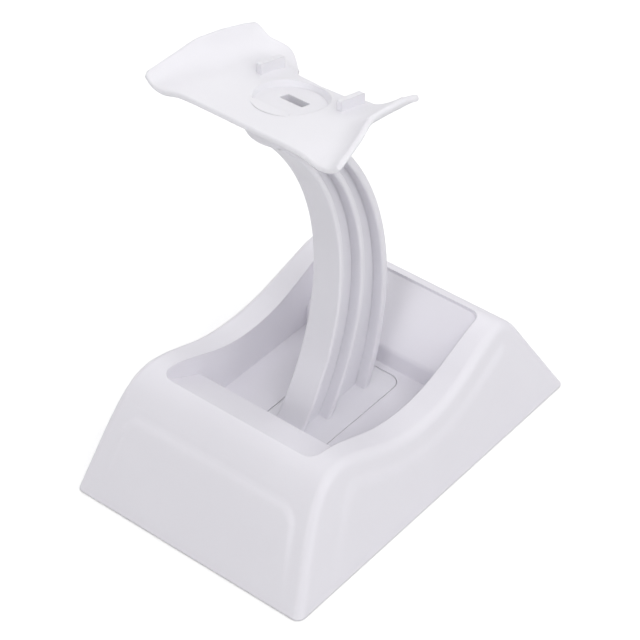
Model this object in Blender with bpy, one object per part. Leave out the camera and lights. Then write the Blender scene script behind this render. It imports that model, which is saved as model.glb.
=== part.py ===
# Desk stand for a folding drone: a drafted base shell with a sunk basin, a ribbed
# arm that leans out of the basin floor, and a thin saddle cradle on the arm's head.
# Metres, +Z up, +X to the right, the front of the stand towards -Y.

import math

import bmesh
import bpy
from mathutils import Matrix, Vector

# Stations, the sizes that end in _Y, run back from the base's front bottom edge.
# Base shell, outer form
BASE_WIDTH = 0.1000
BASE_DEPTH = 0.1514
SIDE_DRAFT = math.radians(10.9)
FRONT_DRAFT = math.radians(24.6)
BACK_DRAFT = math.radians(30.9)
SHOULDER_HEIGHT = 0.0482
TAIL_HEIGHT = 0.0469
RIM_FALL = math.radians(21.9)
RIM_RISE = math.radians(22.8)
SHOULDER_SHARE_FRONT = 0.660
SHOULDER_SHARE_BACK = 0.431
SHOULDER_FULLNESS = 0.84
DIP_SHARE_FRONT = 0.419
DIP_SHARE_BACK = 0.464
DIP_FULLNESS = 0.64
TAIL_SHARE_FRONT = 0.258
TAIL_SHARE_BACK = 0.245
TAIL_FULLNESS = 0.74
RIDGE_RADIUS = 0.0030
SHELL_WALL = 0.0024

# Raised panels on the base's faces: proud at the top, flush at the bottom edge
PANEL_RAISE = 0.0010
PANEL_INSET = 0.0080
SIDE_PANEL_FRONT_INSET = 0.0150
PANEL_TOP_DROP = 0.0170
PANEL_FOOT = 0.0020
PANEL_CORNER = 0.0055

# Basin sunk into the base
BASIN_WIDTH = 0.0660
BASIN_FRONT_Y = 0.0280
BASIN_BACK_INSET = 0.0308
BASIN_CORNER = 0.0045
FLOOR_HEIGHT = 0.0147
RAMP_LENGTH = 0.0199
RAMP_EDGE_DROP = 0.0190
RAMP_SLOPE = math.radians(28.0)
STEP_INSET = 0.0156
STEP_HEIGHT = 0.0223
BASIN_BACK_SLOPE = math.radians(52.0)
BASIN_EDGE = 0.0012

# Clearance that touching pieces keep
FIT = 0.0003

# Foot plate of the arm, let into the basin floor
PLATE_WIDTH = 0.0264
PLATE_FRONT_GAP = 0.0007
PLATE_BACK_GAP = 0.0030
PLATE_CORNER = 0.0050
PLATE_THICKNESS = 0.0030

# Screws that hold the foot plate from below
SCREW_SPREAD = 0.0160
SCREW_FRONT_INSET = 0.0084
SCREW_BACK_INSET = 0.0080
SCREW_SHANK = 0.0028
SCREW_LENGTH = 0.0080
SCREW_HEAD = 0.0056
SCREW_HEAD_HEIGHT = 0.0019
BOSS_DIAMETER = 0.0068
BOSS_LENGTH = 0.0048
TUBE_WALL = 0.0022
TUBE_LEDGE = 0.0020
HEAD_CLEARANCE = 0.0005

# Rubber feet pressed into tubes at the corners
FOOT_STAND = 0.0005
FOOT_FLANGE = 0.0130
FOOT_FLANGE_HEIGHT = 0.0014
FOOT_PLUG = 0.0088
FOOT_PLUG_LENGTH = 0.0050
FOOT_TUBE_WALL = 0.0024
FOOT_TUBE_DEPTH = 0.0110
FOOT_SIDE_INSET = 0.0140
FOOT_FRONT_INSET = 0.0150

# Arm: three curved flanges on one web, each flange an arc in the YZ plane
ARM_WIDTH = 0.0118
ARM_WEB = 0.0030
ARM_EDGE = 0.0007
ARM_TOP_DROP = 0.0101
ARM_BELLY_SHARE = 0.48
ARM_ROOT_FILLET = 0.0012
# Three flanges, front to back: the front face's foot as a share of the plate's length, its
# bulge to the back as a share of the arm's height, its top ahead of the pocket's middle
FLANGE_FOOT_SHARE = (0.0510, 0.3890, 0.7725)
FLANGE_BULGE_SHARE = (0.2095, 0.2090, 0.1879)
FLANGE_TOP_LEAD = (0.0120, 0.0083, 0.0026)
FLANGE_THICKNESS = (0.0021, 0.0022, 0.0028)

# Arm head: an oval boss that carries the cradle
HEAD_HALF_X = 0.0129
HEAD_HALF_Y = 0.0155
HEAD_SKIRT = 0.0050
HEAD_BELLY = 0.0055
HEAD_NECK = 0.50

# Cradle plate
CRADLE_FRONT_Y = 0.0333
CRADLE_HEIGHT = 0.1585
CRADLE_PITCH = math.radians(12.2)
CRADLE_THICKNESS = 0.0020
CRADLE_FOLD_REACH = 0.0060
CRADLE_EDGE = 0.0007
SHOULDER_X = 0.0160
KNEE_X = 0.0230
CRADLE_SECTIONS = (
    # station, rise at the shoulder, rise at the knee, fold half width, fold rise,
    # lip half width, lip rise; each rise is above the plate's centre line
    (0.0333, 0.0000, -0.0003, 0.0336, -0.0035, 0.0376, 0.0003),
    (0.0450, 0.0004, 0.0004, 0.0312, 0.0006, 0.0359, 0.0058),
    (0.0560, 0.0012, 0.0018, 0.0292, 0.0040, 0.0334, 0.0101),
    (0.0650, 0.0014, 0.0024, 0.0286, 0.0046, 0.0329, 0.0104),
    (0.0735, 0.0008, 0.0024, 0.0282, 0.0048, 0.0322, 0.0101),
    (0.0810, -0.0026, 0.0024, 0.0280, 0.0070, 0.0328, 0.0089),
    (0.0860, -0.0040, 0.0024, 0.0280, 0.0086, 0.0332, 0.0090),
)
CRADLE_REAR_EDGE = (
    # half width, station of the rear edge
    (0.0000, 0.0735),
    (0.0090, 0.0735),
    (0.0150, 0.0806),
    (0.0215, 0.0853),
    (0.0275, 0.0802),
    (0.0380, 0.0810),
)

# Pocket, slot, ribs and spigot of the cradle
POCKET_Y = 0.0581
POCKET_HALF_X = 0.0112
POCKET_HALF_Y = 0.0138
POCKET_DEPTH = 0.0017
POCKET_DRAFT = 0.0014
CUP_WALL = 0.0016
SLOT_LENGTH = 0.0088
SLOT_WIDTH = 0.0045
SLOT_SET_BACK = 0.0021
SPIGOT_WALL = 0.0015
SPIGOT_LENGTH = 0.0072
RIB_X = 0.0160
RIB_THICKNESS = 0.0020
RIB_FRONT_Y = 0.0618
RIB_BACK_Y = 0.0733
RIB_FRONT_RISE = 0.0052
RIB_BACK_RISE = 0.0048
LENS_HALF_X = 0.0072
LENS_CHORD = 0.0048
LENS_PROUD = 0.0003
LENS_LAP = 0.0006

# Sizes that follow from the ones above
HALF_DEPTH = BASE_DEPTH / 2
PITCH_TAN = math.tan(CRADLE_PITCH)
TAN_SIDE = math.tan(SIDE_DRAFT)
PANEL_TOP = SHOULDER_HEIGHT - PANEL_TOP_DROP
BASIN_BACK_Y = BASE_DEPTH - BASIN_BACK_INSET
RAMP_BACK_Y = BASIN_FRONT_Y + RAMP_LENGTH
RAMP_EDGE_HEIGHT = SHOULDER_HEIGHT - RAMP_EDGE_DROP
STEP_Y = BASIN_BACK_Y - STEP_INSET
PLATE_FRONT_Y = RAMP_BACK_Y + PLATE_FRONT_GAP
PLATE_BACK_Y = STEP_Y - PLATE_BACK_GAP
PLATE_LENGTH = PLATE_BACK_Y - PLATE_FRONT_Y
SCREW_FRONT_Y = PLATE_FRONT_Y + SCREW_FRONT_INSET
SCREW_BACK_Y = PLATE_BACK_Y - SCREW_BACK_INSET


def station(value):
    """Y of a point that lies `value` behind the base's front bottom edge."""
    return value - HALF_DEPTH


def centre_line(along):
    """Height of the cradle's centre line at a station."""
    return CRADLE_HEIGHT - PITCH_TAN * (along - CRADLE_FRONT_Y)


def clear_scene():
    for item in list(bpy.data.objects):
        bpy.data.objects.remove(item, do_unlink=True)


def plastic(name, colour, roughness):
    material = bpy.data.materials.new(name)
    material.use_nodes = True
    shader = material.node_tree.nodes["Principled BSDF"]
    shader.inputs["Base Color"].default_value = (*colour, 1.0)
    shader.inputs["Roughness"].default_value = roughness
    shader.inputs["Metallic"].default_value = 0.0
    return material


def metal(name, colour, roughness):
    material = plastic(name, colour, roughness)
    material.node_tree.nodes["Principled BSDF"].inputs["Metallic"].default_value = 1.0
    return material


def new_object(name, work):
    """Make an object of a bmesh, with its faces turned outwards."""
    bmesh.ops.recalc_face_normals(work, faces=work.faces)
    mesh = bpy.data.meshes.new(name)
    work.to_mesh(mesh)
    work.free()
    item = bpy.data.objects.new(name, mesh)
    bpy.context.scene.collection.objects.link(item)
    return item


def bake(item):
    """Swap the object's mesh for what its modifiers make of it."""
    graph = bpy.context.evaluated_depsgraph_get()
    mesh = bpy.data.meshes.new_from_object(item.evaluated_get(graph))
    item.modifiers.clear()
    item.data = mesh


def combine(item, tool, operation):
    """Boolean one object with another, which is used up."""
    step = item.modifiers.new(operation, "BOOLEAN")
    step.object = tool
    step.operation = operation
    step.solver = "EXACT"
    bake(item)
    bpy.data.objects.remove(tool, do_unlink=True)


def smooth(item, angle=math.radians(35)):
    item.data.shade_smooth()
    item.data.set_sharp_from_angle(angle=angle)


def curve_points(start, corner, end, fullness, steps):
    """Cubic that leaves start and reaches end along the lines to their corner."""
    first = start.lerp(corner, fullness)
    second = end.lerp(corner, fullness)
    points = []
    for i in range(steps + 1):
        t = i / steps
        s = 1.0 - t
        points.append(start * s ** 3 + first * 3 * s * s * t + second * 3 * s * t * t + end * t ** 3)
    return points


def towards(point, target, distance):
    return point + (target - point).normalized() * distance


def rounded(outline, radius_of, steps=4):
    """Round the corners of a closed outline; radius_of gives a radius or zero by index."""
    result = []
    count = len(outline)
    for i, corner in enumerate(outline):
        radius = radius_of(i)
        if radius <= 0.0:
            result.append(corner)
            continue
        before = (outline[i - 1] - corner).normalized()
        after = (outline[(i + 1) % count] - corner).normalized()
        half = before.angle(after) / 2
        reach = radius / math.tan(half)
        turn = math.pi - 2 * half
        fullness = 4 / 3 * math.tan(turn / 4) / math.tan(turn / 2)
        result += curve_points(corner + before * reach, corner, corner + after * reach, fullness, steps)
    return result


def inset_outline(outline, distance):
    """Move each side of a closed outline inwards; the outline runs clockwise in (y, z).

    A side that is too short for the distance would turn back on itself, so it is left out.
    """
    result = []
    count = len(outline)
    for i, point in enumerate(outline):
        before = (point - outline[i - 1]).normalized()
        after = (outline[(i + 1) % count] - point).normalized()
        normal_before = Vector((before.y, -before.x))
        normal_after = Vector((after.y, -after.x))
        middle = (normal_before + normal_after).normalized()
        result.append(point + middle * (distance / middle.dot(normal_after)))
    folded = [
        i for i in range(count)
        if (result[(i + 1) % count] - result[i]).dot(outline[(i + 1) % count] - outline[i]) <= 0.0]
    for i in sorted({k % count for i in folded for k in (i, i + 1)}, reverse=True):
        del result[i]
    return result


def base_profile(steps=10):
    """Side outline of the base in (station, height), clockwise from the front bottom edge."""
    front = Vector((0.0, 0.0))
    back = Vector((BASE_DEPTH, 0.0))
    shoulder = Vector((SHOULDER_HEIGHT * math.tan(FRONT_DRAFT), SHOULDER_HEIGHT))
    tail = Vector((BASE_DEPTH - TAIL_HEIGHT * math.tan(BACK_DRAFT), TAIL_HEIGHT))
    fall, rise = math.tan(RIM_FALL), math.tan(RIM_RISE)
    dip_station = (shoulder.y - tail.y + fall * shoulder.x + rise * tail.x) / (fall + rise)
    dip = Vector((dip_station, shoulder.y - fall * (dip_station - shoulder.x)))
    outline = [front]
    outline += curve_points(
        shoulder.lerp(front, SHOULDER_SHARE_FRONT), shoulder,
        shoulder.lerp(dip, SHOULDER_SHARE_BACK), SHOULDER_FULLNESS, steps)
    outline += curve_points(
        dip.lerp(shoulder, DIP_SHARE_FRONT), dip, dip.lerp(tail, DIP_SHARE_BACK), DIP_FULLNESS, steps)
    outline += curve_points(
        tail.lerp(dip, TAIL_SHARE_FRONT), tail, tail.lerp(back, TAIL_SHARE_BACK), TAIL_FULLNESS, steps)
    outline.append(back)
    return outline


def prism(outline, half_width):
    """Solid swept across X from a (station, height) outline; half_width is a function of height."""
    work = bmesh.new()
    ends = []
    for side in (-1, 1):
        ends.append([
            work.verts.new((side * half_width(point.y), station(point.x), point.y)) for point in outline])
    count = len(outline)
    work.faces.new(ends[0])
    work.faces.new(ends[1][::-1])
    for i in range(count):
        j = (i + 1) % count
        work.faces.new((ends[0][j], ends[0][i], ends[1][i], ends[1][j]))
    return work


def column(outline, low, high):
    """Solid swept up Z from an (x, y) outline."""
    work = bmesh.new()
    face = work.faces.new([work.verts.new((point.x, point.y, low)) for point in outline])
    grown = bmesh.ops.extrude_face_region(work, geom=[face])
    top = [item for item in grown["geom"] if isinstance(item, bmesh.types.BMVert)]
    bmesh.ops.translate(work, verts=top, vec=(0, 0, high - low))
    return work


def rounded_box(half_x, front, back, corner, steps=5):
    """Rectangle with round corners in (x, y), from a half width and two stations."""
    outline = [
        Vector((-half_x, station(front))), Vector((half_x, station(front))),
        Vector((half_x, station(back))), Vector((-half_x, station(back)))]
    return rounded(outline, lambda index: corner, steps)


def disc(x, y, radius, low, high, sides=20):
    work = bmesh.new()
    bmesh.ops.create_cone(
        work, cap_ends=True, segments=sides, radius1=radius, radius2=radius, depth=high - low,
        matrix=Matrix.Translation((x, y, (low + high) / 2)))
    return work


def base_half_width(height):
    return BASE_WIDTH / 2 - height * TAN_SIDE


def base_body():
    """Outer form of the base, with its ridges and upright corners rounded."""
    work = prism(base_profile(), base_half_width)
    bmesh.ops.recalc_face_normals(work, faces=work.faces)
    ridge = []
    for edge in work.edges:
        across = edge.verts[0].co.x * edge.verts[1].co.x < 0.0
        on_floor = all(vert.co.z < RIDGE_RADIUS / 10 for vert in edge.verts)
        if not across and not on_floor:
            ridge.append(edge)
    bmesh.ops.bevel(
        work, geom=ridge, offset=RIDGE_RADIUS, offset_type="OFFSET", segments=4, profile=0.5,
        affect="EDGES", material=-1)
    return new_object("base_shell", work)


def profile_between(outline, low, high):
    """The rising face at the start of a clockwise outline, between two heights."""
    rising = []
    for before, after in zip(outline, outline[1:]):
        climb = after.y - before.y
        if before.y <= low < after.y:
            rising.append(before.lerp(after, (low - before.y) / climb))
        if before.y <= high < after.y:
            rising.append(before.lerp(after, (high - before.y) / climb))
            break
        if after.y > low:
            rising.append(after)
    return rising


def proud(height, top):
    """How far a panel stands out at a height: buried a hair at its foot, full at its top."""
    share = (height - PANEL_FOOT) / (top - PANEL_FOOT)
    return PANEL_RAISE * share - FIT / 6


def raised_outline(face, top):
    """Thin wedge along a rising face line: flush at its foot, proud at its top."""
    outer, inner = [], []
    for i, point in enumerate(face):
        after = face[min(i + 1, len(face) - 1)]
        before = face[max(i - 1, 0)]
        along = (after - before).normalized()
        outward = Vector((-along.y, along.x))
        outer.append(point + outward * proud(point.y, top))
        inner.append(point - outward * SHELL_WALL / 2)
    return outer + inner[::-1]


def front_panel(mirrored):
    """Panel on the front face, or on the back face when mirrored."""
    outline = base_profile()
    if mirrored:
        outline = [Vector((BASE_DEPTH - point.x, point.y)) for point in reversed(outline)]
    face = profile_between(outline, PANEL_FOOT, PANEL_TOP + SHELL_WALL)
    panel = new_object("panel", prism(raised_outline(face, PANEL_TOP), lambda height: BASE_WIDTH))
    foot = base_half_width(0.0) - PANEL_INSET
    head = base_half_width(PANEL_TOP) - PANEL_INSET
    seen = [Vector((-foot, 0.0)), Vector((foot, 0.0)), Vector((head, PANEL_TOP)), Vector((-head, PANEL_TOP))]
    seen = rounded(seen, lambda index: PANEL_CORNER if index > 1 else 0.0)
    sight = column(seen, -HALF_DEPTH - SHELL_WALL, 0.0)
    bmesh.ops.rotate(sight, verts=sight.verts, matrix=Matrix.Rotation(math.pi / 2, 3, "X"))
    bmesh.ops.scale(sight, verts=sight.verts, vec=(1, -1, 1))
    combine(panel, new_object("sight", sight), "INTERSECT")
    if mirrored:
        panel.data.transform(Matrix.Scale(-1, 4, (0, 1, 0)))
        panel.data.flip_normals()
    return panel


def side_panel(side):
    """Panel on one side face, its top edge running with the rim."""
    profile = base_profile()
    inner = inset_outline(profile, PANEL_INSET)
    front_line = math.tan(FRONT_DRAFT)
    outline = []
    for point in inner[1:-1]:
        station_limit = point.y * front_line + SIDE_PANEL_FRONT_INSET
        if point.x > station_limit:
            outline.append(point)
    first, last = outline[0], outline[-1]
    foot_front = Vector((SIDE_PANEL_FRONT_INSET, PANEL_FOOT))
    foot_back = Vector((last.x + (last.y - PANEL_FOOT) * math.tan(BACK_DRAFT), PANEL_FOOT))
    lead = Vector((first.y * front_line + SIDE_PANEL_FRONT_INSET, first.y))
    outline = [foot_front, lead.lerp(foot_front, 0.3)] + outline + [foot_back]
    peak = max(point.y for point in outline)
    work = bmesh.new()
    layers = []
    for depth in (0.0, 1.0):
        ring = []
        for point in outline:
            reach = base_half_width(point.y) + proud(point.y, peak) - depth * SHELL_WALL
            ring.append(work.verts.new((side * reach, station(point.x), point.y)))
        layers.append(ring)
    count = len(outline)
    work.faces.new(layers[0])
    work.faces.new(layers[1][::-1])
    for i in range(count):
        j = (i + 1) % count
        work.faces.new((layers[0][j], layers[0][i], layers[1][i], layers[1][j]))
    return new_object("panel", work)


def basin_tool(growth):
    """The space of the basin; growth thickens it all round for the shell below it."""
    sky = 3 * SHOULDER_HEIGHT
    run = (sky - RAMP_EDGE_HEIGHT) / math.tan(RAMP_SLOPE)
    climb = (sky - STEP_HEIGHT) / math.tan(BASIN_BACK_SLOPE)
    outline = [
        Vector((RAMP_BACK_Y - run, sky)), Vector((STEP_Y + climb, sky)), Vector((STEP_Y, STEP_HEIGHT)),
        Vector((STEP_Y, FLOOR_HEIGHT)), Vector((RAMP_BACK_Y, FLOOR_HEIGHT)),
        Vector((RAMP_BACK_Y, RAMP_EDGE_HEIGHT))]
    outline = inset_outline(outline, -growth)
    if growth == 0.0:
        brinks = {2: BASIN_EDGE, 5: BASIN_EDGE}
        outline = rounded(outline, lambda index: brinks.get(index, 0.0), 3)
    sweep = new_object("basin", prism(outline, lambda height: BASE_WIDTH))
    plan = rounded_box(
        BASIN_WIDTH / 2 + growth, BASIN_FRONT_Y - growth, BASIN_BACK_Y + growth, BASIN_CORNER + growth)
    well = new_object("well", column(plan, -growth, sky))
    combine(sweep, well, "INTERSECT")
    return sweep


def screw_places():
    for side in (-1, 1):
        for along in (SCREW_FRONT_Y, SCREW_BACK_Y):
            yield side * SCREW_SPREAD / 2, station(along)


def foot_places():
    reach_x = BASE_WIDTH / 2 - FOOT_SIDE_INSET
    for side in (-1, 1):
        yield side * reach_x, station(FOOT_FRONT_INSET)
        yield side * reach_x, station(BASE_DEPTH - FOOT_FRONT_INSET)


# Heights along a screw, from the plate down
PLATE_BOTTOM = FLOOR_HEIGHT - PLATE_THICKNESS
SEAT_TOP = PLATE_BOTTOM - FIT
SEAT_BOTTOM = SEAT_TOP - SHELL_WALL
BOSS_BOTTOM = PLATE_BOTTOM - BOSS_LENGTH
LEDGE_TOP = BOSS_BOTTOM - FIT
LEDGE_BOTTOM = LEDGE_TOP - TUBE_LEDGE
HEAD_TOP = LEDGE_BOTTOM - FIT
TUBE_BOTTOM = HEAD_TOP - SCREW_HEAD_HEIGHT - FIT
BORE_RADIUS = BOSS_DIAMETER / 2 + FIT
PILOT_RADIUS = SCREW_SHANK / 2 + FIT
FOOT_TUBE_RADIUS = FOOT_PLUG / 2 + FIT + FOOT_TUBE_WALL
FOOT_TUBE_BOTTOM = FOOT_FLANGE_HEIGHT - FOOT_STAND + FIT


def hollow_tool():
    """The space under the base shell, round the basin's walls, the seat, tubes and posts."""
    inner = inset_outline(base_profile(), SHELL_WALL)
    deep = 10 * FIT
    front, back = inner[0], inner[-1]
    inner[0] = Vector((front.x - (front.y + deep) * math.tan(FRONT_DRAFT), -deep))
    inner[-1] = Vector((back.x + (back.y + deep) * math.tan(BACK_DRAFT), -deep))
    side_wall = SHELL_WALL / math.cos(SIDE_DRAFT)
    space = new_object("hollow", prism(inner, lambda height: base_half_width(height) - side_wall))
    combine(space, basin_tool(SHELL_WALL), "DIFFERENCE")
    seat = rounded_box(
        PLATE_WIDTH / 2 + FIT + SHELL_WALL, PLATE_FRONT_Y - FIT - SHELL_WALL,
        PLATE_BACK_Y + FIT + SHELL_WALL, PLATE_CORNER + SHELL_WALL)
    combine(space, new_object("seat", column(seat, SEAT_BOTTOM, FLOOR_HEIGHT)), "DIFFERENCE")
    for x, y in screw_places():
        tube = disc(x, y, BORE_RADIUS + TUBE_WALL, TUBE_BOTTOM, FLOOR_HEIGHT)
        combine(space, new_object("tube", tube), "DIFFERENCE")
    for x, y in foot_places():
        post = disc(x, y, FOOT_TUBE_RADIUS, FOOT_TUBE_BOTTOM, SHOULDER_HEIGHT)
        combine(space, new_object("post", post), "DIFFERENCE")
    return space


def make_base():
    base = base_body()
    for panel in (front_panel(False), front_panel(True), side_panel(-1), side_panel(1)):
        combine(base, panel, "UNION")
    combine(base, basin_tool(0.0), "DIFFERENCE")
    combine(base, hollow_tool(), "DIFFERENCE")
    pocket = rounded_box(
        PLATE_WIDTH / 2 + FIT, PLATE_FRONT_Y - FIT, PLATE_BACK_Y + FIT, PLATE_CORNER + FIT)
    combine(base, new_object("pocket", column(pocket, SEAT_TOP, FLOOR_HEIGHT + FIT)), "DIFFERENCE")
    for x, y in screw_places():
        bore = disc(x, y, BORE_RADIUS, LEDGE_TOP, FLOOR_HEIGHT)
        combine(base, new_object("bore", bore), "DIFFERENCE")
        shank = disc(x, y, PILOT_RADIUS, LEDGE_BOTTOM - FIT, LEDGE_TOP + FIT, 16)
        combine(base, new_object("shank", shank), "DIFFERENCE")
        head = disc(x, y, SCREW_HEAD / 2 + HEAD_CLEARANCE, -FIT, LEDGE_BOTTOM)
        combine(base, new_object("head", head), "DIFFERENCE")
    for x, y in foot_places():
        socket = disc(x, y, FOOT_PLUG / 2 + FIT, -FIT, FOOT_TUBE_DEPTH)
        combine(base, new_object("socket", socket), "DIFFERENCE")
        recess = disc(x, y, FOOT_FLANGE / 2 + FIT, -FOOT_STAND, FOOT_TUBE_BOTTOM)
        combine(base, new_object("recess", recess), "DIFFERENCE")
    return base


def arc_through(low, middle, high):
    """Centre and radius of the circle through three (station, height) points."""
    a, b = middle - low, high - low
    a_square, b_square = a.length_squared, b.length_squared
    to_centre = Vector((b.y * a_square - a.y * b_square, a.x * b_square - b.x * a_square))
    to_centre /= 2 * (a.x * b.y - a.y * b.x)
    return low + to_centre, to_centre.length


ARM_TOP = centre_line(POCKET_Y) - ARM_TOP_DROP


def flange_faces(height):
    """Stations of the front and back of each flange at a height."""
    faces = []
    for foot_share, bulge, lead, thickness in zip(
            FLANGE_FOOT_SHARE, FLANGE_BULGE_SHARE, FLANGE_TOP_LEAD, FLANGE_THICKNESS):
        foot = Vector((PLATE_FRONT_Y + PLATE_LENGTH * foot_share, FLOOR_HEIGHT))
        top = Vector((POCKET_Y - lead, ARM_TOP))
        belly = foot.lerp(top, ARM_BELLY_SHARE)
        belly.x += bulge * (ARM_TOP - FLOOR_HEIGHT)
        centre, radius = arc_through(foot, belly, top)
        rise = height - centre.y
        front = centre.x + math.sqrt(radius ** 2 - rise ** 2)
        back = centre.x + math.sqrt((radius + thickness) ** 2 - rise ** 2)
        faces.append((front, back))
    return faces


def comb_section(height, spread):
    """Cut through the arm at a height: three flanges on one web, as (x, station)."""
    half, web, edge = ARM_WIDTH / 2 + spread, ARM_WEB / 2 + spread, ARM_EDGE
    faces = [(front - spread, back + spread) for front, back in flange_faces(height)]
    right = []
    for index, (front, back) in enumerate(faces):
        middle = (front + back) / 2
        round_off = min(edge, (back - front) / 2.5)
        if index > 0:
            right.append((web, min(front, middle)))
        for turn in (0, 45, 90):
            angle = math.radians(turn)
            inwards = round_off * (1 - math.sin(angle))
            right.append((half - inwards, front + round_off * (1 - math.cos(angle))))
        for turn in (0, 45, 90):
            angle = math.radians(turn)
            inwards = round_off * (1 - math.cos(angle))
            right.append((half - inwards, back - round_off * (1 - math.sin(angle))))
        if index < len(faces) - 1:
            right.append((web, back))
    return right + [(-x, along) for x, along in reversed(right)]


def arm_comb(stations=22, root_steps=3):
    """Loft of the comb section from inside the foot plate up into the head."""
    work = bmesh.new()
    rings = []
    low = FLOOR_HEIGHT - PLATE_THICKNESS / 2
    turns = [math.pi / 2 * step / root_steps for step in range(root_steps + 1)]
    fillet = [ARM_ROOT_FILLET * (1 - math.cos(turn)) for turn in turns]
    heights = [low] + [FLOOR_HEIGHT + step for step in fillet]
    climb = heights[-1]
    heights += [climb + (ARM_TOP - climb) * i / stations for i in range(1, stations + 1)]
    for height in heights:
        gap = min(max(height - FLOOR_HEIGHT, 0.0), ARM_ROOT_FILLET)
        spread = ARM_ROOT_FILLET - math.sqrt(ARM_ROOT_FILLET ** 2 - (ARM_ROOT_FILLET - gap) ** 2)
        section = comb_section(height, spread)
        rings.append([work.verts.new((x, station(along), height)) for x, along in section])
    count = len(rings[0])
    work.faces.new(rings[0][::-1])
    work.faces.new(rings[-1])
    for lower, upper in zip(rings, rings[1:]):
        for i in range(count):
            j = (i + 1) % count
            work.faces.new((lower[i], lower[j], upper[j], upper[i]))
    return new_object("arm", work)


# Frame of the cradle plate: origin on its centre line at the pocket, Z square to the plate
PLATE_FRAME = (
    Matrix.Translation((0.0, station(POCKET_Y), centre_line(POCKET_Y)))
    @ Matrix.Rotation(-CRADLE_PITCH, 4, "X"))
UNDERSIDE = -CRADLE_THICKNESS
CUP_BOTTOM = -POCKET_DEPTH - CUP_WALL
HEAD_RIM = UNDERSIDE - FIT
DISH_BOTTOM = CUP_BOTTOM - FIT
CUP_HALF_X = POCKET_HALF_X - POCKET_DRAFT + CUP_WALL
CUP_HALF_Y = POCKET_HALF_Y - POCKET_DRAFT + CUP_WALL
SPIGOT_BOTTOM = CUP_BOTTOM - SPIGOT_LENGTH
SLOT_SHIFT = SLOT_SET_BACK / math.cos(CRADLE_PITCH)


def oval_stack(rings, sides=32):
    """Closed solid through ovals, each (half_x, half_y, height, shift), in the plate's frame."""
    work = bmesh.new()
    loops = []
    for half_x, half_y, height, shift in rings:
        loop = []
        for i in range(sides):
            angle = 2 * math.pi * i / sides
            loop.append(work.verts.new((half_x * math.cos(angle), half_y * math.sin(angle) + shift, height)))
        loops.append(loop)
    work.faces.new(loops[0][::-1])
    work.faces.new(loops[-1])
    for lower, upper in zip(loops, loops[1:]):
        for i in range(sides):
            j = (i + 1) % sides
            work.faces.new((lower[i], lower[j], upper[j], upper[i]))
    bmesh.ops.transform(work, matrix=PLATE_FRAME, verts=work.verts)
    return work


def slot_block(half_x, half_y, low, high):
    """Straight block in the plate's frame, centred on the slot."""
    outline = [
        Vector((-half_x, SLOT_SHIFT - half_y)), Vector((half_x, SLOT_SHIFT - half_y)),
        Vector((half_x, SLOT_SHIFT + half_y)), Vector((-half_x, SLOT_SHIFT + half_y))]
    work = column(outline, low, high)
    bmesh.ops.transform(work, matrix=PLATE_FRAME, verts=work.verts)
    return work


def make_arm():
    arm = arm_comb()
    plate = rounded_box(PLATE_WIDTH / 2, PLATE_FRONT_Y, PLATE_BACK_Y, PLATE_CORNER)
    combine(arm, new_object("plate", column(plate, PLATE_BOTTOM, FLOOR_HEIGHT)), "UNION")
    for x, y in screw_places():
        boss = disc(x, y, BOSS_DIAMETER / 2, BOSS_BOTTOM, PLATE_BOTTOM + FIT)
        combine(arm, new_object("boss", boss), "UNION")
        pilot = disc(x, y, PILOT_RADIUS, BOSS_BOTTOM - FIT, HEAD_TOP + SCREW_LENGTH + FIT, 16)
        combine(arm, new_object("pilot", pilot), "DIFFERENCE")
    rings = [(HEAD_HALF_X, HEAD_HALF_Y, HEAD_RIM, 0.0)]
    turn_steps = 6
    for i in range(turn_steps + 1):
        angle = math.pi / 2 * i / turn_steps
        scale = HEAD_NECK + (1 - HEAD_NECK) * math.cos(angle)
        height = HEAD_RIM - HEAD_SKIRT - HEAD_BELLY * math.sin(angle)
        rings.append((HEAD_HALF_X * scale, HEAD_HALF_Y * scale, height, 0.0))
    combine(arm, new_object("head", oval_stack(rings[::-1])), "UNION")
    dish = [
        (CUP_HALF_X + FIT, CUP_HALF_Y + FIT, DISH_BOTTOM, 0.0),
        (CUP_HALF_X + FIT, CUP_HALF_Y + FIT, HEAD_RIM + FIT, 0.0)]
    combine(arm, new_object("dish", oval_stack(dish)), "DIFFERENCE")
    reach = SPIGOT_WALL + FIT
    socket = slot_block(
        SLOT_LENGTH / 2 + reach, SLOT_WIDTH / 2 + reach, SPIGOT_BOTTOM - FIT, DISH_BOTTOM + FIT)
    combine(arm, new_object("socket", socket), "DIFFERENCE")
    return arm


def smooth_between(table, at, column_index):
    """Monotone cubic through one column of a table whose first column is the place."""
    places = [row[0] for row in table]
    values = [row[column_index] for row in table]
    if at <= places[0]:
        return values[0]
    if at >= places[-1]:
        return values[-1]
    slopes = [(b - a) / (q - p) for a, b, p, q in zip(values, values[1:], places, places[1:])]
    tangents = [slopes[0]]
    for low, high in zip(slopes, slopes[1:]):
        tangents.append(0.0 if low * high <= 0.0 else 2 * low * high / (low + high))
    tangents.append(slopes[-1])
    i = max(k for k in range(len(places) - 1) if places[k] <= at)
    span = places[i + 1] - places[i]
    t = (at - places[i]) / span
    return (
        values[i] * (1 + 2 * t) * (1 - t) ** 2 + tangents[i] * span * t * (1 - t) ** 2
        + values[i + 1] * t * t * (3 - 2 * t) + tangents[i + 1] * span * t * t * (t - 1))


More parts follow.
